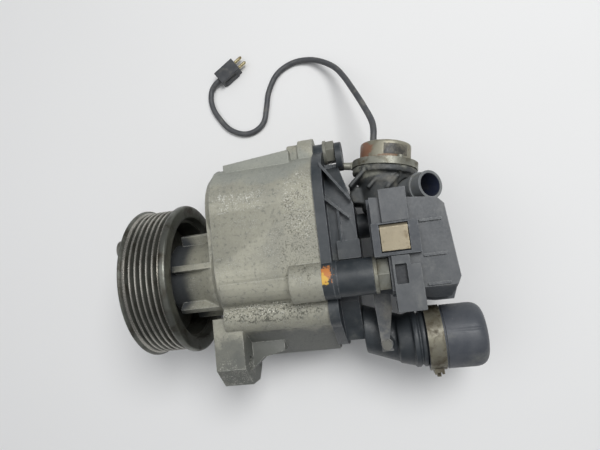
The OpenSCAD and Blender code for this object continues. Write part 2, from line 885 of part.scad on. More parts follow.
module silencer_pot() {
    color("#3a3c3f")
        difference() {
            union() {
                bar(clamp_x0 + 0.5, pot_x1 - 9, pot_r - 0.6, pot_y, pot_z);
                bar(clamp_x1 + 1, pot_x1 - 9, pot_r, pot_y, pot_z);
                bar(pot_x1 - 10, pot_x1, pot_r - 9, pot_y, pot_z);
                translate([pot_x1 - 9, pot_y, pot_z])
                    rotate([0, 90, 0])
                        rotate_extrude()
                            translate([pot_r - 9, 0])
                                intersection() {
                                    circle(9);
                                    square(20);
                                }
            }
            bar(clamp_x0, clamp_x1 + 3.2, 15.05, pot_y, pot_z);
            bar(clamp_x1 + 3, pot_x1 - 5, pot_r - 3, pot_y, pot_z);
            // vent under the pot
            translate([176, pot_y, pot_z - pot_r - 1]) cylinder(h = 6, r = 5);
        }
}

module silencer_foam() {
    color("#57564f")
        ring(clamp_x1 + 3.4, pot_x1 - 5.4, pot_r - 3.4, 7, pot_y, pot_z);
}

module hose_clamp() {
    color("#8c8455")
        difference() {
            union() {
                bar(clamp_x0 + 0.6, clamp_x1 - 0.2, pot_r + 0.4, pot_y, pot_z);
                block([clamp_x0 + 2.4, pot_y - pot_r - 1.8, pot_z - 6], [clamp_x1 - 2, pot_y, pot_z + 8]);
                // lock tongue
                block([clamp_x0 + 4, pot_y - pot_r - 4.4, pot_z - 1.6],
                    [clamp_x1 - 3.6, pot_y, pot_z + 1.4]);
            }
            bar(clamp_x0, clamp_x1, pot_r - 0.6, pot_y, pot_z);
            block([clamp_x0 + 3.9, pot_y - pot_r - 3, pot_z + 3],
                [clamp_x1 - 3.5, pot_y - pot_r - 0.8, pot_z + 9]);
        }
}

module strut_bracket() {
    color("#5f6263")
        difference() {
            union() {
                translate([0, 0, 6])
                    linear_extrude(8)
                        polygon([[128.5, -31], [138.2, -31], [134.2, -50], [136, -56], [129.4, -56],
                            [129.4, -50]]);
                block([128.5, -33, -2], [138.2, -22, 14]);
                translate([strut_x, strut_y, 4.05]) cylinder(h = 8, r = 3.4);
            }
            translate([strut_x, strut_y, 0]) cylinder(h = 20, r = 1.7);
            translate([0, 0, -30]) linear_extrude(60) box_outline(-0.02);
        }
}

module strut_screw() {
    color("#9c9a8c")
        union() {
            translate([strut_x, strut_y, 1.2]) cylinder(h = 13.2, r = 1.6);
            translate([strut_x, strut_y, 14]) cylinder(h = 2, r = 2.8);
        }
}

// ---------------------------------------------------------------- drive side

module pulley() {
    color("#4a4845")
        difference() {
            rotate([0, 90, 0])
                rotate_extrude()
                    polygon(concat(
                        [[20, pulley_x0], [flange_r - 1, pulley_x0], [flange_r, pulley_x0 + 1],
                         [flange_r, pulley_x0 + front_flange_w - 1.4]],
                        [for (i = [0:grooves - 1]) each [
                            [crest_r, -groove_w / 2 + i * groove_pitch + 0.35],
                            [crest_r - groove_depth, -groove_w / 2 + (i + 0.5) * groove_pitch - 0.4],
                            [crest_r - groove_depth, -groove_w / 2 + (i + 0.5) * groove_pitch + 0.4],
                            [crest_r, -groove_w / 2 + (i + 1) * groove_pitch - 0.35]]],
                        [[flange_r, groove_w / 2 + 1.4], [flange_r, pulley_x1 - 1.4],
                         [flange_r - 1.4, pulley_x1], [pulley_hollow_r, pulley_x1],
                         [pulley_hollow_r - 0.6, pulley_x1 - 4],
                         [pulley_hollow_r - 2.6, pulley_x1 - 4.6],
                         [pulley_hollow_r - 2.6, web_x1], [20, web_x1]]));
            for (i = [0:2])
                rotate([i * 120 + 48, 0, 0])
                    bar(pulley_x0 - 1, web_x1 + 1, 4.05, pulley_bolt_pcr);
        }
}

module pulley_bolts() {
    color("#3a3a38")
        for (i = [0:2])
            rotate([i * 120 + 48, 0, 0])
                difference() {
                    union() {
                        bar(pulley_x0 - 9.6, pulley_x0 - 1.6, 6.4, pulley_bolt_pcr);
                        bar(pulley_x0 - 2, web_x1 + 7, 4, pulley_bolt_pcr);
                    }
                    hex_bar(pulley_x0 - 10, pulley_x0 - 6, 6, pulley_bolt_pcr);
                }
}

module pulley_washers() {
    color("#6a6a66")
        for (i = [0:2])
            rotate([i * 120 + 48, 0, 0])
                ring(pulley_x0 - 1.6, pulley_x0, 7.6, 4.1, pulley_bolt_pcr);
}

module drive_hub() {
    color("#565450")
        difference() {
            union() {
                bar(web_x1, web_x1 + 6.5, 36.4);
                bar(pulley_x0, web_x1 + 1, 19.95);
                bar(web_x1 + 6, nose_x0 - 1.5, 13.5);
            }
            bar(pulley_x0 - 1, nose_x0, 8);
            for (i = [0:2])
                rotate([i * 120 + 48, 0, 0])
                    bar(web_x1 - 1, web_x1 + 8, 4, pulley_bolt_pcr);
            block([pulley_x0 - 1, 6, -2], [nose_x0, 9.6, 2]);
        }
}

module hub_key() {
    color("#9a9a96")
        block([pulley_x0 + 2, 6.2, -1.98], [nose_x0 - 3, 9.5, 1.98]);
}

module hub_nut() {
    color("#5d5d59")
        difference() {
            union() {
                hex_bar(pulley_x0 - 8, pulley_x0 - 1.2, 22);
                bar(pulley_x0 - 1.4, pulley_x0, 12);
            }
            bar(pulley_x0 - 9, pulley_x0 + 1, 7.02);
        }
}

module drive_shaft() {
    color("#b5b5b1")
        difference() {
            union() {
                bar(pulley_x0 - 10, pulley_x0 + 1, 7);
                bar(pulley_x0, nose_x0 - 1, 7.98);
                bar(nose_x0 - 1.1, gear_x0 - 0.5, drive_shaft_r);
                bar(gear_x0 - 1, gear_x1, 7);
            }
            block([pulley_x0 + 2, 6.2, -1.98], [nose_x0 - 3, 9, 1.98]);
            bar(gear_x1 - 12, gear_x1 + 1, 3);
        }
}

module drive_inner_rings() {
    color("#d0d0cd") {
        inner_ring(nose_bearing_x, 10, drive_bearing_r, drive_shaft_r);
        inner_ring(rear_bearing_x, 10, drive_bearing_r, drive_shaft_r);
    }
}

module drive_balls() {
    color("#dededc") {
        balls(nose_bearing_x, 10, drive_bearing_r, drive_shaft_r, 9);
        balls(rear_bearing_x, 10, drive_bearing_r, drive_shaft_r, 9);
    }
}

// One point of a full-size rotor: bulges outside the pitch circle, hollows inside it.
function lobe_curve(a) =
    let (k = 2 * lobes,
        turn = (a + 90 / lobes) % (360 / lobes),
        bulge = turn < 180 / lobes,
        s = bulge ? turn : turn - 180 / lobes,
        p = bulge
            ? [(pitch_r + cusp_r) * cos(s) - cusp_r * cos((k + 1) * s),
               (pitch_r + cusp_r) * sin(s) - cusp_r * sin((k + 1) * s)]
            : [(pitch_r - cusp_r) * cos(s) + cusp_r * cos((k - 1) * s),
               (pitch_r - cusp_r) * sin(s) - cusp_r * sin((k - 1) * s)],
        r = a - s)
    [p[0] * cos(r) - p[1] * sin(r), p[0] * sin(r) + p[1] * cos(r)];

// The same point moved inwards, so that two rotors keep their clearance.
function lobe_point(a) =
    let (along = lobe_curve(a + 0.4) - lobe_curve(a + 359.6))
    lobe_curve(a) - rotor_clearance / 2 * [along[1], -along[0]] / norm(along);

// A straight lobed rotor on a shaft of radius ri.
module lobed_rotor(ri, y) {
    translate([0, y, 0])
        along_x(chamber_x0 + rotor_clearance, chamber_x1 - rotor_clearance)
            difference() {
                polygon([for (i = [0:lobes * 24 - 1]) lobe_point(i * 360 / (lobes * 24))]);
                circle(ri);
            }
}

module drive_rotor() {
    color("#9c9c98")
        lobed_rotor(drive_shaft_r, 0);
}

// Half a gear tooth: the share of a tooth space to each side, and the height in modules.
tooth_side = [[0.31, -1.2], [0.22, 0], [0.12, 0.9]];

// A timing gear with straight tooth flanks, turned by a.
module timing_gear(ri, y, a) {
    m = rotor_gap / gear_teeth;
    step = 360 / gear_teeth;
    outline = concat([for (q = tooth_side) [-q[0], q[1]]], [for (i = [2:-1:0]) tooth_side[i]]);
    translate([0, y, 0])
        along_x(gear_x0, gear_x1)
            difference() {
                polygon([for (i = [0:gear_teeth - 1]) for (q = outline)
                    (pitch_r + q[1] * m) * [cos(a + (i + q[0]) * step), sin(a + (i + q[0]) * step)]]);
                circle(ri);
            }
}

module drive_gear() {
    color("#83827c")
        timing_gear(7, 0, 0);
}

// The bolt that holds a timing gear on its shaft's end.
module gear_bolt(y) {
    bar(gear_x1 - 11.8, gear_x1 + 1, 2.98, y);
    bar(gear_x1, gear_x1 + 4, 5, y);
}

module drive_gear_bolt() {
    color("#6e6e69")
        gear_bolt(0);
}

module driven_shaft() {
    color("#b5b5b1")
        difference() {
            union() {
                bar(driven_front_x + 0.5, gear_x0 - 0.5, driven_shaft_r, rotor_gap);
                bar(gear_x0 - 1, gear_x1, 5, rotor_gap);
            }
            bar(gear_x1 - 12, gear_x1 + 1, 3, rotor_gap);
        }
}

module driven_inner_rings() {
    color("#d0d0cd") {
        inner_ring(driven_front_x, 8, driven_bearing_r, driven_shaft_r, rotor_gap);
        inner_ring(rear_bearing_x, 8, driven_bearing_r, driven_shaft_r, rotor_gap);
    }
}

module driven_balls() {
    color("#dededc") {
        balls(driven_front_x, 8, driven_bearing_r, driven_shaft_r, 8, rotor_gap);
        balls(rear_bearing_x, 8, driven_bearing_r, driven_shaft_r, 8, rotor_gap);
    }
}

module driven_rotor() {
    color("#9c9c98")
        lobed_rotor(driven_shaft_r, rotor_gap);
}

module driven_gear() {
    color("#83827c")
        timing_gear(5, rotor_gap, 180 / gear_teeth);
}

module driven_gear_bolt() {
    color("#6e6e69")
        gear_bolt(rotor_gap);
}

// ---------------------------------------------------------------- lead and plug

module lead() {
    color("#232425")
        swept(lead_path, lead_d / 2, 10);
}

// Moves its children to the plug: local +X runs from the lead to the pins.
module on_plug() {
    translate(plug_end)
        rotate([0, 0, plug_turn])
            children();
}

module plug() {
    color("#1c1d1f")
        on_plug()
            difference() {
                union() {
                    block([0, -5.6, -4.6], [plug_l, 5.6, 4.2]);
                    block([2, -6.4, -4.6], [plug_l - 3, 6.4, -1]);
                }
                block([2.6, -7, 0.4], [plug_l - 5, -4.6, 1.4]);
            }
}

module plug_pins() {
    color("#c2a95c")
        on_plug()
            for (y = [-2.8, 2.8])
                translate([0, y, 0]) {
                    bar(plug_l, plug_l + 6.2, 1.25);
                    taper(plug_l + 6.1, plug_l + 7.2, 1.25, 0.6);
                }
}

rotor_casing();
casing_dowels();
rear_bearing_plate();
outer_rings();
shaft_seals();
cover_gasket();
rear_cover();
cover_screws();
bolt_sleeve();
long_bolt();
long_bolt_washer();
top_bolt();
top_nut();
hanger_eye();
valve_body();
valve_flange();
flange_screws();
solenoid_can();
coil();
pole_piece();
valve_spring();
valve_plunger();
valve_stay();
can_label();
lead_bush();
filter_box();
filter_lid();
filter_pad();
intake_spigot();
lid_straps();
clip_frame();
clip_pin();
spring_clip();
outlet_elbow();
hose_clamp();
silencer_pot();
silencer_foam();
strut_bracket();
strut_screw();
pulley();
pulley_bolts();
pulley_washers();
drive_hub();
hub_key();
hub_nut();
drive_shaft();
drive_inner_rings();
drive_balls();
drive_rotor();
drive_gear();
drive_gear_bolt();
driven_shaft();
driven_inner_rings();
driven_balls();
driven_rotor();
driven_gear();
driven_gear_bolt();
lead();
plug();
plug_pins();
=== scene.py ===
"""Looks for a belt-driven supercharger lying on a pale table.

Every piece is built in metres in the shared frame: +X along the drive shaft to the rear, +Y to the
driven rotor, +Z up. Pieces are surfaces computed with numpy or softened copies of the solid parts.
"""

import json
import math

import bmesh
import bpy
import numpy as np
from bpy.props import FloatProperty, FloatVectorProperty
from mathutils import Matrix, Vector

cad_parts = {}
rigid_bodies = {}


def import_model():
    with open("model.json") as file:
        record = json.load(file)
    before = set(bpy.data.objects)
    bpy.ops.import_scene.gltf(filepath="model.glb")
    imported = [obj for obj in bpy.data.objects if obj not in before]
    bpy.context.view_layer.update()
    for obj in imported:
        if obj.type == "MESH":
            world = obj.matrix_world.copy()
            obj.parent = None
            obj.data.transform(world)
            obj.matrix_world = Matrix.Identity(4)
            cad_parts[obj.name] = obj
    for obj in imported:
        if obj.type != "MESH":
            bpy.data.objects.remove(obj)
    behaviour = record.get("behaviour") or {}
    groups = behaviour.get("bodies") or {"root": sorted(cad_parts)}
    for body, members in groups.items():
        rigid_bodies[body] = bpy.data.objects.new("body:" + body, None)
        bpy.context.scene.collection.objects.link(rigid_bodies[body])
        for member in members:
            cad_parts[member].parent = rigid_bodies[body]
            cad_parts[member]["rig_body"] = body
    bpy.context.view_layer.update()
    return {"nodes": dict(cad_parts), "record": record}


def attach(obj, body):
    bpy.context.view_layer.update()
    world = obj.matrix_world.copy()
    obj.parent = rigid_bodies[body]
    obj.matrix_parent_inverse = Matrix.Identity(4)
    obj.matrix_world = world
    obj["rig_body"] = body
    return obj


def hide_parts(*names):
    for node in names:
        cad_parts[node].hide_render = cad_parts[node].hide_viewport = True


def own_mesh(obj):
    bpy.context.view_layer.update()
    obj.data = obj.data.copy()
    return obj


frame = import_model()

bl_info = {
    "name": "Supercharger looks",
    "version": (1, 0, 0),
    "blender": (4, 5, 0),
    "location": "View3D > Sidebar > Supercharger",
    "description": "Builds the detailed surfaces and finishes of a belt-driven supercharger",
    "category": "Object",
}

MM = 0.001
HOUSING = "housing"
DRIVE = "drive_rotor_shaft"

# The camera's place, its right, up and backward directions, and its lens in millimetres.
CAMERA_AT = (0.13715, -0.01285, 0.28852)
CAMERA_AXES = ((0.9767, -0.1129, -0.1827), (0.1338, 0.9853, 0.1062), (0.1680, -0.1282, 0.9774))
CAMERA_LENS = 27.6

# The floor's height, a hair under the part's feet, and half its width.
FLOOR_Z = -0.05205
FLOOR_REACH = 3.0

# Each light's name, diameter, power in watts and place. Both aim at LIGHT_AIM.
LIGHTS = (("Key light", 0.55, 7.2, (0.46, 0.34, 0.95)),
          ("Fill light", 0.9, 2.0, (-0.40, 0.10, 1.05)))
LIGHT_AIM = (0.10, 0.0, 0.0)


# ---- surfaces

def shade(mesh, sharp):
    """Shades a mesh smooth, except where two faces meet at more than `sharp` degrees."""
    mesh.polygons.foreach_set("use_smooth", np.ones(len(mesh.polygons), bool))
    mesh.set_sharp_from_angle(angle=math.radians(sharp))


def link_mesh(name, points, faces, sharp=35.0):
    """A mesh object at the origin, from an (N, 3) array of points and a list of face index rows."""
    mesh = bpy.data.meshes.new(name)
    mesh.from_pydata(np.asarray(points, float).tolist(), [], [list(map(int, f)) for f in faces])
    mesh.validate()
    shade(mesh, sharp)
    mesh.update()
    obj = bpy.data.objects.new(name, mesh)
    bpy.context.scene.collection.objects.link(obj)
    return obj


def grid_faces(rows, columns, close_rows=False, close_columns=False):
    """Quads that join neighbouring points of a rows x columns grid, wrapped round where asked."""
    r = np.arange(rows if close_rows else rows - 1)
    c = np.arange(columns if close_columns else columns - 1)
    r, c = np.meshgrid(r, c, indexing="ij")
    r2, c2 = (r + 1) % rows, (c + 1) % columns
    quads = np.stack([r * columns + c, r2 * columns + c, r2 * columns + c2, r * columns + c2], -1)
    return quads.reshape(-1, 4)


def lathe(name, profile, frame_matrix=None, turns=160, sharp=35.0, seam=None):
    """A closed turned piece. Formula: the profile's (along, radius) pairs, a closed loop in
    millimetres, give the point (along, radius * cos(a), radius * sin(a)) for each angle a; the
    matrix then carries local X onto the piece's own axis. A seam (angle and width in radians)
    raises the radius by height * exp(-((a - angle) / width)^2), as a moulding's parting line, where
    the profile is past the seam's own radius and distance along."""
    profile = np.asarray(profile, float)
    a = np.linspace(0, 2 * math.pi, turns, endpoint=False)
    x = np.repeat(profile[:, :1], turns, 1)
    radius = np.repeat(profile[:, 1:], turns, 1)
    if seam:
        lift = seam["height"] * np.exp(-((a - seam["angle"]) / seam["width"]) ** 2)
        radius = radius + lift * (radius > seam["past_radius"]) * (x > seam["past_along"])
    points = np.stack([x, radius * np.cos(a), radius * np.sin(a)], -1) * MM
    points = points.reshape(-1, 3)
    faces = grid_faces(len(profile), turns, close_rows=True, close_columns=True)
    if frame_matrix is not None:
        m = np.array(frame_matrix)
        points = points @ m[:3, :3].T + m[:3, 3]
    return outward(link_mesh(name, points, faces, sharp))


def outward(obj):
    """Merges doubled points and turns every face outwards, by the sign of the enclosed volume."""
    bm = bmesh.new()
    bm.from_mesh(obj.data)
    bmesh.ops.remove_doubles(bm, verts=bm.verts, dist=1e-7)
    bmesh.ops.dissolve_degenerate(bm, edges=bm.edges, dist=1e-8)
    bmesh.ops.recalc_face_normals(bm, faces=bm.faces)
    if bm.calc_volume(signed=True) < 0:
        bmesh.ops.reverse_faces(bm, faces=bm.faces)
    bm.to_mesh(obj.data)
    bm.free()
    return obj


def rounded(corners, radius, steps=5):
    """A closed profile with its corners rounded. Formula: at each corner the two neighbouring
    sides are cut back by the radius, and a quadratic curve through the corner joins the cuts."""
    p = np.asarray(corners, float)
    r = np.broadcast_to(np.asarray(radius, float), len(p))
    before = np.roll(p, 1, 0) - p
    after = np.roll(p, -1, 0) - p
    lb = np.linalg.norm(before, axis=1)
    la = np.linalg.norm(after, axis=1)
    cut = np.minimum(r, 0.45 * np.minimum(lb, la))[:, None]
    a = p + before / lb[:, None] * cut
    b = p + after / la[:, None] * cut
    t = np.linspace(0, 1, steps)[None, :, None]
    curve = (1 - t) ** 2 * a[:, None] + 2 * t * (1 - t) * p[:, None] + t ** 2 * b[:, None]
    return curve.reshape(-1, 2)


def axis_matrix(origin, along, up=(0, 0, 1)):
    """The matrix that carries local X onto a direction, from an origin in millimetres. Local Y is
    up x along, and local Z is along x Y."""
    x = Vector(along).normalized()
    y = Vector(up).cross(x).normalized()
    z = x.cross(y)
    m = Matrix((x, y, z)).transposed().to_4x4()
    m.translation = Vector(origin) * MM
    return m


def smooth_path(points, count):
    """A smooth curve through points, and its length. Formula: the uniform Catmull-Rom cubic on each
    pair of neighbours, then resampled at even steps of its length."""
    p = np.asarray(points, float)
    q = np.vstack([2 * p[0] - p[1], p, 2 * p[-1] - p[-2]])
    t = np.linspace(0, 1, 24, endpoint=False)[:, None, None]
    a, b, c, d = q[:-3], q[1:-2], q[2:-1], q[3:]
    s = 0.5 * (2 * b + (c - a) * t + (2 * a - 5 * b + 4 * c - d) * t ** 2
               + (3 * b - a - 3 * c + d) * t ** 3)
    s = np.vstack([s.transpose(1, 0, 2).reshape(-1, 3), p[-1:]])
    length = np.concatenate([[0], np.cumsum(np.linalg.norm(np.diff(s, axis=0), axis=1))])
    even = np.linspace(0, length[-1], count)
    return np.stack([np.interp(even, length, s[:, k]) for k in range(3)], 1), length[-1]


def tube(name, path, radius, sides, up=(0.0, 0.0, 1.0)):
    """A round bar with flat ends. Formula: a circle of the radius, in the plane square to the path
    and set out from `up`, is carried along an (N, 3) path in metres."""
    along = np.gradient(path, axis=0)
    along /= np.linalg.norm(along, axis=1)[:, None]
    side = np.cross(along, up)
    side /= np.linalg.norm(side, axis=1)[:, None]
    lift = np.cross(side, along)
    a = np.linspace(0, 2 * math.pi, sides, endpoint=False)
    ring = side[:, None] * np.cos(a)[None, :, None] + lift[:, None] * np.sin(a)[None, :, None]
    points = (path[:, None] + radius * ring).reshape(-1, 3)
    faces = grid_faces(len(path), sides, close_columns=True).tolist()
    last = (len(path) - 1) * sides
    faces += [list(range(sides))[::-1], list(range(last, last + sides))]
    return outward(link_mesh(name, points, faces, sharp=50))


def merge(obj):
    """Joins a solid part's loose triangles into one skin and flattens its coplanar ones."""
    bm = bmesh.new()
    bm.from_mesh(obj.data)
    bmesh.ops.remove_doubles(bm, verts=bm.verts, dist=2e-6)
    bmesh.ops.dissolve_limit(bm, angle_limit=math.radians(0.6), verts=bm.verts, edges=bm.edges)
    bm.to_mesh(obj.data)
    bm.free()
    shade(obj.data, 28.0)


def merged_copy(node, name):
    """A copy of a solid part as one skin, with no finish yet, that stands for the part."""
    obj = bpy.data.objects.new(name, frame["nodes"][node].data.copy())
    bpy.context.scene.collection.objects.link(obj)
    obj.data.materials.clear()
    merge(obj)
    return place(obj, body_name(node), node)


def soft_copy(node, name, width, segments=2, angle=28.0):
    """A copy of a solid part with its edges rounded by a bevel. The width is in millimetres."""
    obj = merged_copy(node, name)
    bevel = obj.modifiers.new("Edge", "BEVEL")
    bevel.width = width * MM
    bevel.segments = segments
    bevel.limit_method = "ANGLE"
    bevel.angle_limit = math.radians(angle)
    bevel.harden_normals = True
    return obj


def cast_copy(node, name, voxel, passes):
    """A copy of a solid part as a casting: its skin is remade from cells of `voxel` millimetres and
    relaxed, so every corner gets the soft fillet of a sand mould."""
    obj = merged_copy(node, name)
    remesh = obj.modifiers.new("Mould", "REMESH")
    remesh.mode = "VOXEL"
    remesh.voxel_size = voxel * MM
    remesh.use_smooth_shade = True
    relax = obj.modifiers.new("Relax", "SMOOTH")
    relax.factor = 0.6
    relax.iterations = passes
    return obj


def body_name(node):
    """The rigid body that a solid part belongs to."""
    return frame["nodes"][node]["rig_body"]


def slot_of(node):
    """The material slot of a solid part."""
    return next(s["material_slot"] for s in frame["record"]["subparts"] if s["node"] == node)


def place(obj, body, *nodes, slot=None):
    """Rides a piece on a body and lets it stand for solid parts, which it hides. With no slot
    given, it works out the slot of the first of them, but no slot is put on the piece."""
    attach(obj, body)
    if slot is None and nodes:
        slot = slot_of(nodes[0])
    if nodes:
        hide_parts(*nodes)
    return obj


def dress(obj, material):
    """Gives a piece one finish in place of any it has."""
    obj.data.materials.clear()
    obj.data.materials.append(material)
    return obj


# ---- effect groups

def new_group(name, inputs, outputs):
    """An empty shader node group with named float, colour or vector sockets."""
    kinds = {"f": "NodeSocketFloat", "c": "NodeSocketColor", "v": "NodeSocketVector"}
    group = bpy.data.node_groups.new(name, "ShaderNodeTree")
    for label, kind, default in inputs:
        socket = group.interface.new_socket(label, in_out="INPUT", socket_type=kinds[kind])
        socket.default_value = default
    for label, kind in outputs:
        group.interface.new_socket(label, in_out="OUTPUT", socket_type=kinds[kind])
    return group, Wiring(group)


class Wiring:
    """Adds and joins nodes in a tree: a value given to a node's input is set, a socket is linked."""

    def __init__(self, tree):
        self.tree = tree

    def add(self, kind, inputs=(), **settings):
        """A new node with its settings, and its inputs by name or number."""
        node = self.tree.nodes.new(kind)
        for key, value in settings.items():
            setattr(node, key, value)
        for key, value in dict(inputs).items():
            self.feed(node.inputs[key], value)
        return node

    def feed(self, socket, value):
        """Links another socket to this one, or sets its value."""
        if isinstance(value, bpy.types.NodeSocket):
            self.tree.links.new(value, socket)
        else:
            socket.default_value = value

    def maths(self, operation, a, b=0.0, c=0.0, clamp=False):
        """The result of a Math node."""
        return self.add("ShaderNodeMath", {0: a, 1: b, 2: c}, operation=operation,
                        use_clamp=clamp).outputs[0]

    def vector(self, operation, inputs, output=0):
        """One result of a Vector Math node."""
        return self.add("ShaderNodeVectorMath", dict(enumerate(inputs)),
                        operation=operation).outputs[output]

    def ramp(self, value, low, high, out_low=0.0, out_high=1.0):
        """A value that goes smoothly from out_low to out_high as another goes from low to high."""
        n = self.add("ShaderNodeMapRange", {"Value": value, "From Min": low, "From Max": high,
                                            "To Min": out_low, "To Max": out_high},
                     interpolation_type="SMOOTHSTEP")
        return n.outputs["Result"]

    def noise(self, vector, scale, detail=4.0, rough=0.55, distortion=0.0):
        """Cloudy noise from 0 to 1."""
        n = self.add("ShaderNodeTexNoise", {"Vector": vector, "Scale": scale, "Detail": detail,
                                            "Roughness": rough, "Distortion": distortion})
        return n.outputs["Fac"]

    def mix(self, factor, a, b):
        """Colour a at factor 0 and colour b at factor 1."""
        n = self.add("ShaderNodeMix", data_type="RGBA")
        self.feed(n.inputs[0], factor)
        self.feed(n.inputs[6], a)
        self.feed(n.inputs[7], b)
        return n.outputs[2]

    def coords(self):
        """The place on the piece, in metres in the shared frame."""
        return self.add("ShaderNodeTexCoord").outputs["Object"]

    def ends(self):
        """A group's own inputs and outputs, by name."""
        return self.add("NodeGroupInput").outputs, self.add("NodeGroupOutput").inputs


def build_groups():
    """The effects that several finishes share, by name. Each reads Object coordinates and puts out
    one mask or height."""
    groups = {}

    # Relief: a coarse and a fine noise, mixed.
    group, w = new_group("Cast grain", [("Coarse", "f", 220.0), ("Fine", "f", 1400.0),
                                        ("Mix", "f", 0.5)], [("Height", "f")])
    given, out = w.ends()
    at = w.coords()
    coarse = w.noise(at, given["Coarse"], 3.0, 0.6)
    fine = w.noise(at, given["Fine"], 4.0, 0.65)
    both = w.add("ShaderNodeMix", data_type="FLOAT")
    w.feed(both.inputs[0], given["Mix"])
    w.feed(both.inputs[2], coarse)
    w.feed(both.inputs[3], fine)
    w.feed(out["Height"], both.outputs[0])
    groups["grain"] = group

    # Clouds that cover more of the surface as the amount grows.
    group, w = new_group("Grime", [("Scale", "f", 60.0), ("Amount", "f", 0.5), ("Soft", "f", 0.12)],
                         [("Mask", "f")])
    given, out = w.ends()
    at = w.coords()
    big = w.noise(at, given["Scale"], 8.0, 0.62, 0.4)
    edge = w.maths("SUBTRACT", 1.0, given["Amount"])
    low = w.maths("SUBTRACT", w.maths("MULTIPLY_ADD", edge, 0.5, 0.25), given["Soft"])
    high = w.maths("ADD", w.maths("MULTIPLY_ADD", edge, 0.5, 0.25), given["Soft"])
    w.feed(out["Mask"], w.ramp(big, low, high))
    groups["grime"] = group

    # Where the rounded normal leaves the true one, which is along the edges, broken into chips:
    # worn edges that are also painted highlights along edges and creases.
    group, w = new_group("Edge wear", [("Radius", "f", 0.0006), ("Amount", "f", 1.0),
                                       ("Breakup", "f", 500.0)], [("Mask", "f")])
    given, out = w.ends()
    at = w.coords()
    worn = w.add("ShaderNodeBevel", {"Radius": given["Radius"]}, samples=4).outputs[0]
    plain = w.add("ShaderNodeNewGeometry").outputs["Normal"]
    dot = w.vector("DOT_PRODUCT", (worn, plain), "Value")
    turn = w.maths("SUBTRACT", 1.0, dot)
    chip = w.noise(at, given["Breakup"], 5.0, 0.6)
    mask = w.maths("MULTIPLY", w.ramp(turn, 0.006, 0.09), w.ramp(chip, 0.36, 0.6))
    w.feed(out["Mask"], w.maths("MULTIPLY", mask, given["Amount"], clamp=True))
    groups["wear_and_highlight"] = group

    # Small spots that gather in patches.
    group, w = new_group("Pitting", [("Scale", "f", 900.0), ("Amount", "f", 0.3),
                                     ("Patches", "f", 60.0)], [("Mask", "f")])
    given, out = w.ends()
    at = w.coords()
    spots = w.noise(at, given["Scale"], 3.0, 0.7)
    where = w.noise(at, given["Patches"], 4.0, 0.6)
    level = w.maths("MULTIPLY_ADD", given["Amount"], -0.28, 0.72)
    level = w.maths("ADD", level, w.maths("MULTIPLY_ADD", where, -0.34, 0.17))
    w.feed(out["Mask"], w.ramp(spots, level, w.maths("ADD", level, 0.07)))
    groups["pits"] = group

    # Thin marks, drawn out along the axes with a low stretch.
    group, w = new_group("Scuffs", [("Scale", "f", 120.0), ("Stretch", "v", (1.0, 14.0, 1.0)),
                                    ("Amount", "f", 0.4)], [("Mask", "f")])
    given, out = w.ends()
    at = w.vector("MULTIPLY", (w.coords(), given["Stretch"]))
    lines = w.noise(at, given["Scale"], 6.0, 0.7, 0.3)
    level = w.maths("MULTIPLY_ADD", given["Amount"], -0.2, 0.74)
    w.feed(out["Mask"], w.ramp(lines, level, w.maths("ADD", level, 0.1)))
    groups["scuffs"] = group

    # A cloudy film on faces that look up.
    group, w = new_group("Dust", [("Scale", "f", 200.0), ("Amount", "f", 0.3)], [("Mask", "f")])
    given, out = w.ends()
    at = w.coords()
    normal = w.add("ShaderNodeNewGeometry").outputs["Normal"]
    up = w.add("ShaderNodeSeparateXYZ", {0: normal}).outputs[2]
    lying = w.ramp(up, 0.1, 0.95)
    cloud = w.ramp(w.noise(at, given["Scale"], 7.0, 0.65), 0.3, 0.75)
    film = w.maths("MULTIPLY", lying, cloud)
    w.feed(out["Mask"], w.maths("MULTIPLY", film, given["Amount"], clamp=True))
    groups["dust"] = group

    # An ellipsoid with half-axes Size, with a ragged rim.
    group, w = new_group("Patch", [("Centre", "v", (0.0, 0.0, 0.0)), ("Size", "v", (0.01, 0.01, 0.01)),
                                   ("Ragged", "f", 0.5), ("Scale", "f", 300.0)], [("Mask", "f")])
    given, out = w.ends()
    at = w.coords()
    away = w.vector("SUBTRACT", (at, given["Centre"]))
    away = w.vector("DIVIDE", (away, given["Size"]))
    far = w.vector("LENGTH", (away,), "Value")
    rough = w.noise(at, given["Scale"], 5.0, 0.6)
    far = w.maths("ADD", far, w.maths("MULTIPLY", w.maths("SUBTRACT", rough, 0.5),
                                      w.maths("MULTIPLY", given["Ragged"], 3.0)))
    w.feed(out["Mask"], w.ramp(far, 1.0, 0.7))
    groups["patch"] = group
    return groups


GROUPS = {}
FINISHES = {}
GRAIN = (500.0, 2200.0, 0.5)
DUST_COLOUR = (0.36, 0.36, 0.35)


def rgba(colour):
    """A colour with full opacity, as a socket wants it."""
    return (*colour[:3], 1.0)


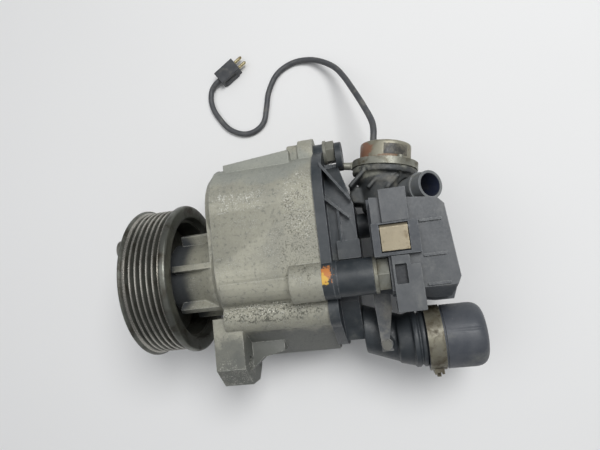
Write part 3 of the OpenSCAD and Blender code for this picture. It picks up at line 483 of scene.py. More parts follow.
def finish(name, colour, second, rough, metal=0.0, grime=None, wear_and_highlight=None,
           wear_and_highlight_colour=(0.4, 0.4, 0.4), grain=GRAIN, bump=0.2, pits=None, scuffs=None, dust=None,
           patches=(), flecks=(), fillet=0.0, sheen=0.0):
    """One finish: a colour that varies to a second one, then grime, scuffs, pits, edge wear that is
    also painted edge highlights, dust and local patches, some of them painted shade, laid over it
    in turn, with its grain as relief.

    grime is (scale, amount, colour), the edge wear and highlight is (radius in m, amount), grain is
    (coarse, fine, mix), pits is (scale, amount, patch scale, colour), scuffs is (scale, stretch,
    amount), dust is (scale, amount). Worn edges, which are also painted highlights, and scuffs
    share the wear and highlight colour.
    flecks are pits that keep to a patch; fillet is the radius that corners are shaded with."""
    material = bpy.data.materials.new(name)
    material.use_nodes = True
    tree = material.node_tree
    w = Wiring(tree)
    shader = tree.nodes["Principled BSDF"]

    def group(key, **values):
        """A shared effect's output, with its values for this finish."""
        n = w.add("ShaderNodeGroup", node_tree=GROUPS[key])
        for label, value in values.items():
            w.feed(n.inputs[label], value)
        return n.outputs[0]

    at = w.coords()
    blotch = w.ramp(w.noise(at, 45.0, 6.0, 0.6, 0.2), 0.34, 0.66)
    base = w.mix(blotch, rgba(colour), rgba(second))
    fine = w.noise(at, 900.0, 3.0, 0.6)
    rough_now = w.ramp(fine, 0.3, 0.7, max(0.03, rough - 0.07), min(1.0, rough + 0.09))
    metal_now = metal
    height = group("grain", Coarse=grain[0], Fine=grain[1], Mix=grain[2])
    if grime:
        mask = group("grime", Scale=grime[0], Amount=grime[1])
        base = w.mix(mask, base, rgba(grime[2]))
        rough_now = w.maths("MULTIPLY_ADD", mask, 0.14, rough_now, clamp=True)
    if scuffs:
        mask = group("scuffs", Scale=scuffs[0], Stretch=scuffs[1], Amount=scuffs[2])
        base = w.mix(w.maths("MULTIPLY", mask, 0.55), base, rgba(wear_and_highlight_colour))
    if pits:
        mask = group("pits", Scale=pits[0], Amount=pits[1], Patches=pits[2])
        base = w.mix(mask, base, rgba(pits[3]))
        rough_now = w.maths("MULTIPLY_ADD", mask, 0.3, rough_now, clamp=True)
        height = w.maths("MULTIPLY_ADD", mask, 0.6, height)
        metal_now = w.maths("MULTIPLY_ADD", mask, -metal, metal, clamp=True)
    for spot in patches:
        mask = group("patch", Centre=spot["centre"], Size=spot["size"],
                     Ragged=spot.get("ragged", 0.5), Scale=spot.get("scale", 300.0))
        mask = w.maths("MULTIPLY", mask, spot.get("strength", 1.0))
        base = w.mix(mask, base, rgba(spot["colour"]))
        metal_now = w.maths("MULTIPLY", metal_now, w.maths("SUBTRACT", 1.0, mask))
    for spot in flecks:
        where = group("patch", Centre=spot["centre"], Size=spot["size"], Ragged=0.5, Scale=120.0)
        mask = group("pits", Scale=spot["scale"], Amount=spot["amount"], Patches=200.0)
        mask = w.maths("MULTIPLY", where, mask)
        base = w.mix(mask, base, rgba(spot["colour"]))
        height = w.maths("MULTIPLY_ADD", mask, spot.get("lift", 0.4), height)
    # Worn edges lightened in the wear colour, which are also painted highlights along edges and creases.
    if wear_and_highlight:
        mask = group("wear_and_highlight", Radius=wear_and_highlight[0], Amount=wear_and_highlight[1])
        base = w.mix(mask, base, rgba(wear_and_highlight_colour))
        rough_now = w.maths("MULTIPLY_ADD", mask, -0.1, rough_now, clamp=True)
    if dust:
        mask = group("dust", Scale=dust[0], Amount=dust[1])
        base = w.mix(mask, base, rgba(DUST_COLOUR))
        rough_now = w.maths("MULTIPLY_ADD", mask, 0.2, rough_now, clamp=True)
    w.feed(shader.inputs["Base Color"], base)
    w.feed(shader.inputs["Roughness"], rough_now)
    w.feed(shader.inputs["Metallic"], metal_now)
    if sheen:
        shader.inputs["Sheen Weight"].default_value = sheen
    relief = w.add("ShaderNodeBump", {"Height": height, "Strength": bump, "Distance": 0.0006})
    if fillet:
        w.feed(relief.inputs["Normal"],
               w.add("ShaderNodeBevel", {"Radius": fillet}, samples=6).outputs[0])
    w.feed(shader.inputs["Normal"], relief.outputs[0])
    FINISHES[name] = material
    return material


def steel_face(name, dark, bright, low, high, reach):
    """Turned dark steel that is worn bright beyond a radius. Formula: the distance from the drive
    axis, the length of (Y, Z), blends the dark colour to the bright one from low to high, where X
    is within the reach of zero."""
    material = finish(name, dark, tuple(c * 1.5 for c in dark), 0.35, metal=0.75,
                      grime=(70.0, 0.35, (0.05, 0.042, 0.03)),
                      scuffs=(160.0, (1.0, 1.0, 9.0), 0.35), wear_and_highlight=(0.0005, 0.5),
                      wear_and_highlight_colour=(0.42, 0.41, 0.38), grain=(400.0, 2600.0, 0.6), bump=0.12)
    tree = material.node_tree
    w = Wiring(tree)
    shader = tree.nodes["Principled BSDF"]
    xyz = w.add("ShaderNodeSeparateXYZ", {0: w.coords()})
    flat = w.add("ShaderNodeCombineXYZ", {"Y": xyz.outputs[1], "Z": xyz.outputs[2]})
    radius = w.vector("LENGTH", (flat.outputs[0],), "Value")
    cloud = w.maths("SUBTRACT", w.noise(w.coords(), 130.0, 5.0, 0.6), 0.5)
    breakup = w.maths("MULTIPLY", cloud, 0.0009)
    edge = w.ramp(w.maths("ADD", radius, breakup), low, high)
    near = w.maths("LESS_THAN", w.maths("ABSOLUTE", xyz.outputs[0]), reach)
    mask = w.maths("MULTIPLY", edge, near)
    old = shader.inputs["Base Color"].links[0].from_socket
    w.feed(shader.inputs["Base Color"], w.mix(mask, old, rgba(bright)))
    old_rough = shader.inputs["Roughness"].links[0].from_socket
    w.feed(shader.inputs["Roughness"], w.maths("MULTIPLY_ADD", mask, -0.12, old_rough, clamp=True))
    return material


# ---- finishes

# Patches and flecks are placed in metres in the shared frame.
FINISH_TABLE = {
    "Cast metal": dict(
        colour=(0.395, 0.385, 0.31), second=(0.315, 0.31, 0.258), rough=0.56, metal=0.3,
        grime=(420.0, 0.26, (0.215, 0.22, 0.19)), wear_and_highlight=(0.0009, 0.7),
        wear_and_highlight_colour=(0.60, 0.60, 0.54), grain=(700.0, 2200.0, 0.5), bump=0.4, fillet=0.0010,
        pits=(1900.0, 0.40, 90.0, (0.52, 0.52, 0.46)),
        flecks=[
            dict(centre=(0.055, 0.040, 0.024), size=(0.022, 0.009, 0.014), scale=1100.0, amount=0.55,
                 colour=(0.70, 0.70, 0.64)),
            dict(centre=(0.095, 0.034, 0.028), size=(0.015, 0.024, 0.014), scale=1300.0, amount=0.55,
                 colour=(0.62, 0.61, 0.54)),
            dict(centre=(0.094, 0.012, 0.030), size=(0.018, 0.034, 0.014), scale=1000.0, amount=0.62,
                 colour=(0.17, 0.165, 0.13), lift=-0.5),
            dict(centre=(0.066, -0.0265, 0.022), size=(0.034, 0.007, 0.010), scale=900.0,
                 amount=0.8, colour=(0.13, 0.13, 0.105), lift=-0.6),
            dict(centre=(0.066, -0.0245, 0.022), size=(0.034, 0.0045, 0.010), scale=1200.0,
                 amount=0.62, colour=(0.70, 0.69, 0.60)),
            dict(centre=(0.040, -0.062, 0.010), size=(0.014, 0.013, 0.014), scale=1200.0,
                 amount=0.6, colour=(0.42, 0.42, 0.37))],
        patches=[
            # Painted shade: the casing's lower wall and its lug, which face down, darkened.
            dict(centre=(0.070, -0.056, -0.006), size=(0.075, 0.026, 0.034),
                 colour=(0.115, 0.12, 0.115), ragged=0.25, scale=90.0, strength=0.85),
            dict(centre=(0.039, -0.062, 0.0), size=(0.030, 0.030, 0.05),
                 colour=(0.12, 0.125, 0.11), ragged=0.3, scale=120.0, strength=0.75),
            # Painted shade: the casing's nose inside the pulley's drum, darkened blue-black.
            dict(centre=(0.004, 0.0, -0.004), size=(0.0225, 0.045, 0.045),
                 colour=(0.030, 0.036, 0.045), ragged=0.06, scale=90.0, strength=0.92),
            # Painted shade: the casing's upper side, which faces +Y, darkened.
            dict(centre=(0.065, 0.060, 0.012), size=(0.050, 0.016, 0.026),
                 colour=(0.25, 0.27, 0.25), ragged=0.3, scale=70.0, strength=0.55)]),
    "Machined metal": dict(
        colour=(0.42, 0.42, 0.40), second=(0.34, 0.34, 0.32), rough=0.34, metal=0.8,
        grime=(90.0, 0.3, (0.10, 0.09, 0.07)), bump=0.1),
    "Bearing steel": dict(
        colour=(0.60, 0.60, 0.59), second=(0.50, 0.50, 0.49), rough=0.2, metal=1.0,
        grain=(600.0, 2600.0, 0.5), bump=0.04),
    "Turned steel": dict(
        colour=(0.42, 0.415, 0.39), second=(0.30, 0.29, 0.27), rough=0.33, metal=0.9,
        grime=(110.0, 0.35, (0.09, 0.07, 0.05)), scuffs=(240.0, (1.0, 8.0, 1.0), 0.3),
        grain=(420.0, 2400.0, 0.5), bump=0.1),
    "Dark steel": dict(
        colour=(0.115, 0.116, 0.103), second=(0.15, 0.148, 0.13), rough=0.42, metal=0.5,
        grime=(70.0, 0.3, (0.05, 0.042, 0.028)), wear_and_highlight=(0.0005, 0.7),
        wear_and_highlight_colour=(0.40, 0.39, 0.36), scuffs=(170.0, (1.0, 5.0, 5.0), 0.35),
        grain=(420.0, 2400.0, 0.5), bump=0.16),
    "Zinc plated steel": dict(
        colour=(0.30, 0.30, 0.25), second=(0.225, 0.225, 0.185), rough=0.42, metal=0.45,
        grime=(130.0, 0.36, (0.10, 0.085, 0.05)), wear_and_highlight=(0.0004, 0.6),
        wear_and_highlight_colour=(0.56, 0.55, 0.46), bump=0.14, dust=(200.0, 0.08),
        patches=[
            dict(centre=(0.142, -0.0122, 0.0275), size=(0.012, 0.014, 0.014),
                 colour=(0.185, 0.19, 0.165), ragged=0.3, scale=200.0, strength=0.85),
            dict(centre=(0.111, 0.069, 0.0), size=(0.012, 0.012, 0.012),
                 colour=(0.17, 0.17, 0.14), ragged=0.3, scale=200.0, strength=0.8)]),
    "Valve casting": dict(
        colour=(0.060, 0.064, 0.062), second=(0.040, 0.045, 0.047), rough=0.5, metal=0.25,
        grime=(90.0, 0.3, (0.14, 0.135, 0.115)), wear_and_highlight=(0.0006, 0.35),
        wear_and_highlight_colour=(0.22, 0.22, 0.20), grain=(320.0, 1300.0, 0.5), bump=0.3, dust=(160.0, 0.08),
        patches=[dict(centre=(0.144, 0.0515, 0.008), size=(0.022, 0.0075, 0.012),
                      colour=(0.26, 0.26, 0.215), ragged=0.35, scale=220.0, strength=0.9)]),
    "Black rubber": dict(
        colour=(0.020, 0.020, 0.021), second=(0.030, 0.030, 0.031), rough=0.62,
        grime=(120.0, 0.3, (0.06, 0.055, 0.045)), grain=(420.0, 2000.0, 0.5), bump=0.15),
    "Gasket sheet": dict(
        colour=(0.045, 0.043, 0.038), second=(0.065, 0.06, 0.052), rough=0.8,
        grain=(700.0, 2600.0, 0.5), bump=0.2),
    "Cover plastic": dict(
        colour=(0.021, 0.027, 0.032), second=(0.032, 0.039, 0.045), rough=0.42,
        grime=(75.0, 0.2, (0.085, 0.09, 0.085)), wear_and_highlight=(0.0008, 0.7),
        wear_and_highlight_colour=(0.20, 0.21, 0.22), scuffs=(150.0, (1.0, 6.0, 2.0), 0.25),
        grain=(400.0, 1900.0, 0.5), bump=0.16, dust=(130.0, 0.07),
        patches=[
            dict(centre=(0.1046, -0.0085, 0.037), size=(0.0040, 0.0048, 0.006),
                 colour=(0.55, 0.20, 0.05), ragged=1.1, scale=700.0),
            dict(centre=(0.1030, -0.0115, 0.037), size=(0.0034, 0.0036, 0.006),
                 colour=(0.70, 0.42, 0.06), ragged=0.7, scale=600.0)]),
    "Box plastic": dict(
        colour=(0.028, 0.034, 0.042), second=(0.040, 0.047, 0.056), rough=0.45,
        grime=(70.0, 0.2, (0.10, 0.11, 0.11)), wear_and_highlight=(0.0008, 0.6),
        wear_and_highlight_colour=(0.22, 0.23, 0.24), bump=0.12, dust=(120.0, 0.08)),
    "Lid plastic": dict(
        colour=(0.060, 0.066, 0.072), second=(0.080, 0.086, 0.092), rough=0.48,
        grime=(60.0, 0.25, (0.15, 0.155, 0.15)), wear_and_highlight=(0.0008, 0.6),
        wear_and_highlight_colour=(0.27, 0.28, 0.28), scuffs=(140.0, (2.0, 7.0, 1.0), 0.3),
        bump=0.12, dust=(120.0, 0.1),
        patches=[
            # Painted shade: a near-black pad in the lid's window, where there is only shade.
            dict(centre=(0.1454, -0.0132, 0.0375), size=(0.0048, 0.0078, 0.0025),
                 colour=(0.008, 0.011, 0.015), ragged=0.0, scale=200.0),
            dict(centre=(0.160, -0.0265, 0.034), size=(0.020, 0.0075, 0.008),
                 colour=(0.022, 0.028, 0.037), ragged=0.15, scale=120.0, strength=0.8)]),
    "Spigot plastic": dict(
        colour=(0.15, 0.16, 0.165), second=(0.18, 0.19, 0.192), rough=0.45,
        grime=(110.0, 0.25, (0.14, 0.14, 0.12)), wear_and_highlight=(0.0005, 0.4),
        wear_and_highlight_colour=(0.42, 0.43, 0.42), bump=0.12, dust=(140.0, 0.1)),
    "Pot plastic": dict(
        colour=(0.048, 0.054, 0.066), second=(0.062, 0.069, 0.081), rough=0.46,
        grime=(65.0, 0.2, (0.13, 0.135, 0.13)), wear_and_highlight=(0.0005, 0.4),
        wear_and_highlight_colour=(0.30, 0.31, 0.31), scuffs=(130.0, (6.0, 1.0, 2.0), 0.35),
        grain=(450.0, 2000.0, 0.5), bump=0.14, dust=(110.0, 0.08)),
    "Blank label": dict(
        colour=(0.028, 0.028, 0.027), second=(0.05, 0.048, 0.043), rough=0.45,
        grime=(140.0, 0.45, (0.20, 0.185, 0.14)), scuffs=(260.0, (5.0, 1.0, 5.0), 0.45),
        wear_and_highlight_colour=(0.28, 0.26, 0.2), grain=(600.0, 2400.0, 0.5), bump=0.1),
    "Solenoid zinc": dict(
        colour=(0.38, 0.36, 0.28), second=(0.29, 0.275, 0.21), rough=0.44, metal=0.45,
        grime=(85.0, 0.4, (0.17, 0.14, 0.085)), wear_and_highlight=(0.0006, 0.45),
        wear_and_highlight_colour=(0.60, 0.58, 0.48), pits=(900.0, 0.2, 70.0, (0.2, 0.13, 0.07)),
        grain=(380.0, 1800.0, 0.5), bump=0.2, dust=(160.0, 0.08),
        patches=[
            dict(centre=(0.1335, 0.0635, 0.010), size=(0.0062, 0.0075, 0.013),
                 colour=(0.24, 0.095, 0.045), ragged=0.8, scale=240.0, strength=0.85),
            dict(centre=(0.147, 0.0575, 0.015), size=(0.012, 0.002, 0.006),
                 colour=(0.20, 0.10, 0.05), ragged=0.9, scale=300.0, strength=0.7)]),
    "Copper winding": dict(
        colour=(0.42, 0.17, 0.06), second=(0.32, 0.12, 0.045), rough=0.3, metal=0.9,
        grain=(900.0, 2600.0, 0.5), bump=0.2),
    "Dull brass": dict(
        colour=(0.27, 0.235, 0.165), second=(0.215, 0.185, 0.13), rough=0.4, metal=0.6,
        grime=(170.0, 0.25, (0.11, 0.075, 0.035)), wear_and_highlight=(0.0004, 0.6),
        wear_and_highlight_colour=(0.66, 0.56, 0.34), grain=(600.0, 2400.0, 0.5), bump=0.12),
    "Clamp zinc": dict(
        colour=(0.22, 0.205, 0.15), second=(0.16, 0.15, 0.11), rough=0.4, metal=0.4,
        grime=(140.0, 0.42, (0.07, 0.055, 0.03)), wear_and_highlight=(0.0004, 0.7),
        wear_and_highlight_colour=(0.44, 0.42, 0.32), scuffs=(160.0, (1.0, 6.0, 6.0), 0.35),
        grain=(480.0, 2200.0, 0.5), bump=0.14, dust=(160.0, 0.15)),
    "Bracket grey": dict(
        colour=(0.080, 0.086, 0.092), second=(0.064, 0.070, 0.075), rough=0.52, metal=0.1,
        grime=(110.0, 0.4, (0.19, 0.185, 0.165)), wear_and_highlight=(0.0005, 0.6),
        wear_and_highlight_colour=(0.34, 0.34, 0.32), grain=(420.0, 2000.0, 0.5), bump=0.16, dust=(150.0, 0.2)),
    "Filter foam": dict(
        colour=(0.40, 0.34, 0.22), second=(0.30, 0.25, 0.16), rough=0.9,
        grime=(150.0, 0.4, (0.10, 0.08, 0.05)), grain=(500.0, 1500.0, 0.6), bump=0.8),
    "Silencer wool": dict(
        colour=(0.12, 0.118, 0.105), second=(0.085, 0.083, 0.075), rough=0.95,
        grain=(400.0, 1600.0, 0.6), bump=0.8, sheen=0.3),
    "Lead sheath": dict(
        colour=(0.050, 0.053, 0.058), second=(0.068, 0.071, 0.077), rough=0.5,
        grime=(140.0, 0.25, (0.14, 0.135, 0.12)), scuffs=(260.0, (3.0, 3.0, 1.0), 0.25),
        wear_and_highlight_colour=(0.2, 0.2, 0.2), grain=(600.0, 2400.0, 0.5), bump=0.12, dust=(170.0, 0.1)),
    "Plug plastic": dict(
        colour=(0.036, 0.039, 0.044), second=(0.050, 0.053, 0.058), rough=0.42,
        grime=(140.0, 0.2, (0.11, 0.108, 0.095)), wear_and_highlight=(0.0004, 0.4),
        wear_and_highlight_colour=(0.18, 0.18, 0.18), grain=(600.0, 2400.0, 0.5), bump=0.1, dust=(170.0, 0.08)),
    "Pin brass": dict(
        colour=(0.66, 0.58, 0.36), second=(0.54, 0.46, 0.27), rough=0.28, metal=0.9,
        grime=(260.0, 0.3, (0.2, 0.14, 0.07)), grain=(900.0, 2600.0, 0.5), bump=0.06),
}

# The finish of each material slot.
SLOT_FINISH = {
    "cast_metal": "Cast metal", "plain_alu": "Machined metal", "bearing_steel": "Bearing steel",
    "shaft_steel": "Turned steel", "dark_steel": "Dark steel", "zinc_steel": "Zinc plated steel",
    "can_zinc": "Solenoid zinc", "valve_cast": "Valve casting", "rubber_black": "Black rubber",
    "gasket_fibre": "Gasket sheet", "cover_plastic": "Cover plastic", "box_plastic": "Box plastic",
    "lid_plastic": "Lid plastic", "spigot_plastic": "Spigot plastic", "pot_plastic": "Pot plastic",
    "label_paper": "Blank label", "copper_wire": "Copper winding", "clip_brass": "Dull brass",
    "clamp_zinc": "Clamp zinc", "bracket_grey": "Bracket grey", "filter_foam": "Filter foam",
    "silencer_wool": "Silencer wool", "lead_rubber": "Lead sheath", "plug_plastic": "Plug plastic",
    "pin_brass": "Pin brass",
}


def tabled(name, **changes):
    """Makes a finish from the table, with any of its values changed."""
    return finish(name, **{**FINISH_TABLE[name], **changes})


def slot_finish(node):
    """The finish that a solid part's slot stands for, made the first time it is asked for."""
    name = SLOT_FINISH[slot_of(node)]
    return FINISHES[name] if name in FINISHES else tabled(name)


def soft_piece(node, width, **more):
    """A softened copy of a solid part in its own finish."""
    return dress(soft_copy(node, node + "_skin", width, **more), slot_finish(node))


def cast_piece(node, voxel, passes):
    """A cast copy of a solid part in its own finish."""
    return dress(cast_copy(node, node + "_cast", voxel, passes), slot_finish(node))


def plain_piece(node):
    """A solid part shown as it is, in its own finish."""
    return dress(frame["nodes"][node], slot_finish(node))


def plain_pieces(*nodes):
    """Several solid parts shown as they are."""
    for node in nodes:
        plain_piece(node)


# ---- stage

def build_camera(scene):
    """The camera over the part."""
    camera = bpy.data.objects.new("Camera", bpy.data.cameras.new("Camera"))
    camera.data.lens = CAMERA_LENS
    camera.data.clip_start = 0.01
    turn = Matrix(CAMERA_AXES).transposed().to_quaternion().to_matrix().to_4x4()
    turn.translation = CAMERA_AT
    camera.matrix_world = turn
    scene.collection.objects.link(camera)
    scene.camera = camera
    scene.view_settings.view_transform = "Standard"


def build_floor():
    """The pale table top. Formula: a square of half-width FLOOR_REACH in the plane z = FLOOR_Z."""
    corners = FLOOR_REACH * np.array([[-1, -1, 0], [1, -1, 0], [1, 1, 0], [-1, 1, 0]])
    floor = link_mesh("Floor", corners + np.array([0, 0, FLOOR_Z]), [[0, 1, 2, 3]])
    paper = bpy.data.materials.new("Pale paper")
    paper.use_nodes = True
    w = Wiring(paper.node_tree)
    shader = paper.node_tree.nodes["Principled BSDF"]
    tone = w.noise(w.coords(), 3.0, 3.0, 0.5)
    w.feed(shader.inputs["Base Color"], w.mix(tone, (0.80, 0.80, 0.79, 1.0), (0.85, 0.85, 0.845, 1.0)))
    shader.inputs["Roughness"].default_value = 0.85
    dress(floor, paper)


def build_world(scene):
    """The studio round the table: dim at the horizon and bright overhead as a light, and an even
    pale grey where the camera sees it."""
    world = bpy.data.worlds.new("Studio")
    scene.world = world
    world.use_nodes = True
    w = Wiring(world.node_tree)
    back = world.node_tree.nodes["Background"]
    up = w.add("ShaderNodeSeparateXYZ", {0: w.add("ShaderNodeTexCoord").outputs["Generated"]}).outputs[2]
    horizon, overhead = (0.24, 0.25, 0.27, 1.0), (1.10, 1.12, 1.16, 1.0)
    w.feed(back.inputs["Color"], w.mix(w.ramp(up, 0.15, 0.95), horizon, overhead))
    back.inputs["Strength"].default_value = 0.42
    seen = w.add("ShaderNodeBackground", {"Color": (0.78, 0.79, 0.80, 1.0), "Strength": 1.0})
    choice = w.add("ShaderNodeMixShader", {0: w.add("ShaderNodeLightPath").outputs["Is Camera Ray"]})
    w.feed(choice.inputs[1], back.outputs[0])
    w.feed(choice.inputs[2], seen.outputs[0])
    w.feed(world.node_tree.nodes["World Output"].inputs["Surface"], choice.outputs[0])


def build_lights(scene):
    """The soft round lights."""
    for name, size, power, place_at in LIGHTS:
        light = bpy.data.lights.new(name, "AREA")
        light.shape = "DISK"
        light.size = size
        light.energy = power
        lamp = bpy.data.objects.new(name, light)
        lamp.location = place_at
        lamp.rotation_euler = (Vector(place_at) - Vector(LIGHT_AIM)).to_track_quat("Z", "Y").to_euler()
        scene.collection.objects.link(lamp)


def build_stage():
    """The camera, the floor, the world and the lights."""
    scene = bpy.context.scene
    build_camera(scene)
    build_floor()
    build_world(scene)
    build_lights(scene)


# ---- lead and plug

# The lead's route in metres, from the can to the plug.
LEAD_POINTS = [
    (0.1403, 0.07062, -0.003), (0.1409, 0.0743, -0.003), (0.1417, 0.0792, -0.0032),
    (0.1418, 0.085, -0.0052),
    (0.1406, 0.0915, -0.009), (0.1388, 0.098, -0.0135), (0.1358, 0.1075, -0.019),
    (0.1314, 0.1198, -0.0255), (0.1267, 0.132, -0.032), (0.1209, 0.1433, -0.0385),
    (0.1129, 0.1517, -0.0435), (0.1037, 0.1576, -0.0475), (0.094, 0.1598, -0.0494),
    (0.0857, 0.1589, -0.0499), (0.078, 0.1555, -0.0499), (0.0726, 0.1508, -0.0499),
    (0.0686, 0.1445, -0.0499), (0.0654, 0.1372, -0.0499), (0.0639, 0.1304, -0.0499),
    (0.0623, 0.1237, -0.0499), (0.0604, 0.1171, -0.0499), (0.0563, 0.1122, -0.0499),
    (0.0502, 0.1093, -0.0499), (0.0436, 0.109, -0.0499), (0.0368, 0.1114, -0.0499),
    (0.0303, 0.1163, -0.0499), (0.0251, 0.1235, -0.0499), (0.0208, 0.1314, -0.0499),
    (0.0189, 0.1381, -0.0499), (0.0187, 0.144, -0.0498), (0.0202, 0.1492, -0.0492),
    (0.0234, 0.1529, -0.0482), (0.028, 0.1556, -0.0474)]


def build_lead(thickness, colour):
    """The lead with its plug, pins and bush. Formula: a circle of half the thickness, carried
    square to the smoothed path."""
    path, length = smooth_path(LEAD_POINTS, 240)
    lead = tube("lead_sheath", path, thickness / 2, 20)
    place(lead, HOUSING, "lead")
    dress(lead, tabled("Lead sheath", colour=colour))
    plug = soft_piece("plug", 0.8, segments=3)
    pins = plain_piece("plug_pins")
    bush = plain_piece("lead_bush")


# ---- housing

def build_casing(edge, colour):
    """The cast casing, with its corners softened by `edge` millimetres, and what is fixed in it."""
    tabled("Cast metal", colour=colour)
    soft_piece("rotor_casing", edge, angle=40.0)
    plain_pieces("casing_dowels", "rear_bearing_plate", "outer_rings", "shaft_seals", "cover_gasket")


def build_cover():
    """The rear cover with its bolts, sleeve and hanger eye."""
    for node, width in (("rear_cover", 0.4), ("bolt_sleeve", 0.5), ("long_bolt", 0.4),
                        ("long_bolt_washer", 0.4), ("top_nut", 0.4), ("hanger_eye", 0.4)):
        soft_piece(node, width)
    plain_pieces("top_bolt", "cover_screws")


# ---- pulley

GROOVES = 6
GROOVE_PITCH = 3.56
GROOVE_DEPTH = 3.0
CREST_RADIUS = 45.6
FLANGE_RADIUS = 47.5
BELT_HALF_WIDTH = GROOVES * GROOVE_PITCH / 2


def groove(left):
    """One V groove's section, from the middle of the crest at `left` to the middle of the next: the
    crest's rounded edge, a slope down to a flat floor, and the same again in mirror."""
    crest, floor = CREST_RADIUS, CREST_RADIUS - GROOVE_DEPTH
    down = [(0.28, crest - 0.12), (0.42, crest), (0.62, crest - 0.2), (1.42, floor + 0.25),
            (1.62, floor)]
    up = [(GROOVE_PITCH - x, radius) for x, radius in reversed(down)]
    return [(left + x, radius) for x, radius in down + up]


def pulley_profile():
    """The pulley's section as (along, radius) in millimetres: the front flange, the grooves with
    their crests, the rear flange, and the hollow behind the web."""
    points = [(-14.08, 20.0), (-14.08, 46.5), (-13.6, 47.2), (-13.0, FLANGE_RADIUS), (-12.3, 47.4),
              (-11.6, 46.8), (-11.0, 46.0)]
    for k in range(GROOVES):
        points += groove(k * GROOVE_PITCH - BELT_HALF_WIDTH)
    points += [(11.1, 46.0), (11.7, 46.9), (12.3, 47.4), (13.0, FLANGE_RADIUS),
               (14.4, FLANGE_RADIUS), (15.4, 47.15), (15.95, 46.5), (16.08, 45.9), (16.08, 40.2),
               (15.9, 39.7), (15.4, 39.45), (12.3, 39.0), (11.7, 38.6), (11.4, 36.9), (-7.6, 36.9),
               (-8.08, 36.4), (-8.08, 20.0)]
    return points


def build_drive():
    """The pulley with its hub, and both shafts with their rotors, bearings and gears."""
    pulley = lathe("pulley_turned", pulley_profile(), turns=256, sharp=32)
    place(pulley, DRIVE, "pulley")
    dress(pulley, steel_face("Pulley steel", (0.105, 0.108, 0.094), (0.36, 0.345, 0.31),
                             low=0.0450, high=0.0456, reach=0.0112))
    for node, width in (("pulley_bolts", 0.4), ("pulley_washers", 0.25), ("drive_hub", 0.4),
                        ("hub_nut", 0.4)):
        soft_piece(node, width)
    plain_pieces("hub_key", "drive_shaft", "drive_inner_rings", "drive_balls", "drive_rotor",
                 "drive_gear", "drive_gear_bolt", "driven_shaft", "driven_inner_rings",
                 "driven_balls", "driven_rotor", "driven_gear", "driven_gear_bolt")


# ---- valve

# The valve's axis, from the can's outer end inwards. The spring's coil, in millimetres, stands
# between two heights on it, just above the end that stays still.
VALVE_LEAN = math.radians(10)
VALVE = axis_matrix((147.9, 67.65, 0), (-math.sin(VALVE_LEAN), -math.cos(VALVE_LEAN), 0))
SPRING_FOOT, SPRING_LOW, SPRING_HIGH = 16.0, 16.6, 24.8
SPRING_RADIUS, SPRING_WIRE, SPRING_TURNS = 6.4, 0.6, 5

# The can's section as (along, radius), with the radius that each corner is rounded to.
CAN_CORNERS = [(0.0, 0.01), (0.0, 15.8), (11.5, 15.8), (11.5, 14.6), (1.5, 14.6), (1.5, 0.01)]
CAN_ROUNDING = [0.001, 1.8, 0.3, 0.3, 0.3, 0.001]


def build_spring():
    """The valve's spring. Formula: the helix (low + (high - low) * t, R * cos(a), R * sin(a)) about
    the valve's axis, with a = 2 * pi * turns * t."""
    t = np.linspace(0, 1, 300)
    a = 2 * math.pi * SPRING_TURNS * t
    helix = np.stack([SPRING_LOW + (SPRING_HIGH - SPRING_LOW) * t,
                      SPRING_RADIUS * np.cos(a), SPRING_RADIUS * np.sin(a)], 1) * MM
    m = np.array(VALVE)
    path = helix @ m[:3, :3].T + m[:3, 3]
    spring = tube("spring_coil", path, SPRING_WIRE * MM, 10, up=m[:3, 0])
    place(spring, HOUSING, "valve_spring")
    dress(spring, slot_finish("valve_spring"))
    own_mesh(spring)


def build_valve():
    """The shut-off valve: its drawn can, cast body, flange, label, stay and inner parts."""
    can = lathe("solenoid_can_drawn", rounded(CAN_CORNERS, CAN_ROUNDING, 6), VALVE, 128)
    place(can, HOUSING, "solenoid_can")
    dress(can, slot_finish("solenoid_can"))
    soft_piece("valve_flange", 0.5)
    cast_piece("valve_body", 0.7, passes=4)
    for node, width in (("valve_stay", 0.4), ("can_label", 0.05), ("flange_screws", 0.3)):
        soft_piece(node, width)
    build_spring()
    plain_pieces("coil", "pole_piece", "valve_plunger")


# ---- filter box

# The spigot's axis leans towards the rear. A thin dark sleeve in its bore is painted shade.
SPIGOT_LEAN = math.radians(34)
SPIGOT = axis_matrix((151.6, 34.5, 0.1), (math.sin(SPIGOT_LEAN), 0, math.cos(SPIGOT_LEAN)), (0, 1, 0))
SHADE_SLEEVE = [(8.0, 6.79), (29.6, 6.79), (29.6, 6.6), (8.0, 6.6)]


def build_filter_box():
    """The filter box with its lid, straps, clip and spigot, and a thin dark sleeve of painted shade in
    the spigot's bore.
    """
    for node, width in (("filter_box", 0.6), ("filter_lid", 0.9), ("lid_straps", 0.6)):
        soft_piece(node, width, segments=3)
    soft_piece("clip_frame", 0.5)
    soft_piece("intake_spigot", 0.4, segments=3)
    soft_piece("spring_clip", 0.25)
    # A thin blue-black sleeve in the bore: painted shade inside the spigot.
    skin = lathe("spigot_shade_sleeve", SHADE_SLEEVE, SPIGOT, 96)
    place(skin, HOUSING, slot="spigot_plastic")
    dress(skin, finish("Spigot painted shade", (0.020, 0.026, 0.050), (0.030, 0.038, 0.066), 0.4,
                       grime=(150.0, 0.3, (0.06, 0.06, 0.06)),
                       grain=(260.0, 1500.0, 0.5)))
    plain_pieces("clip_pin", "filter_pad")


# ---- outlet

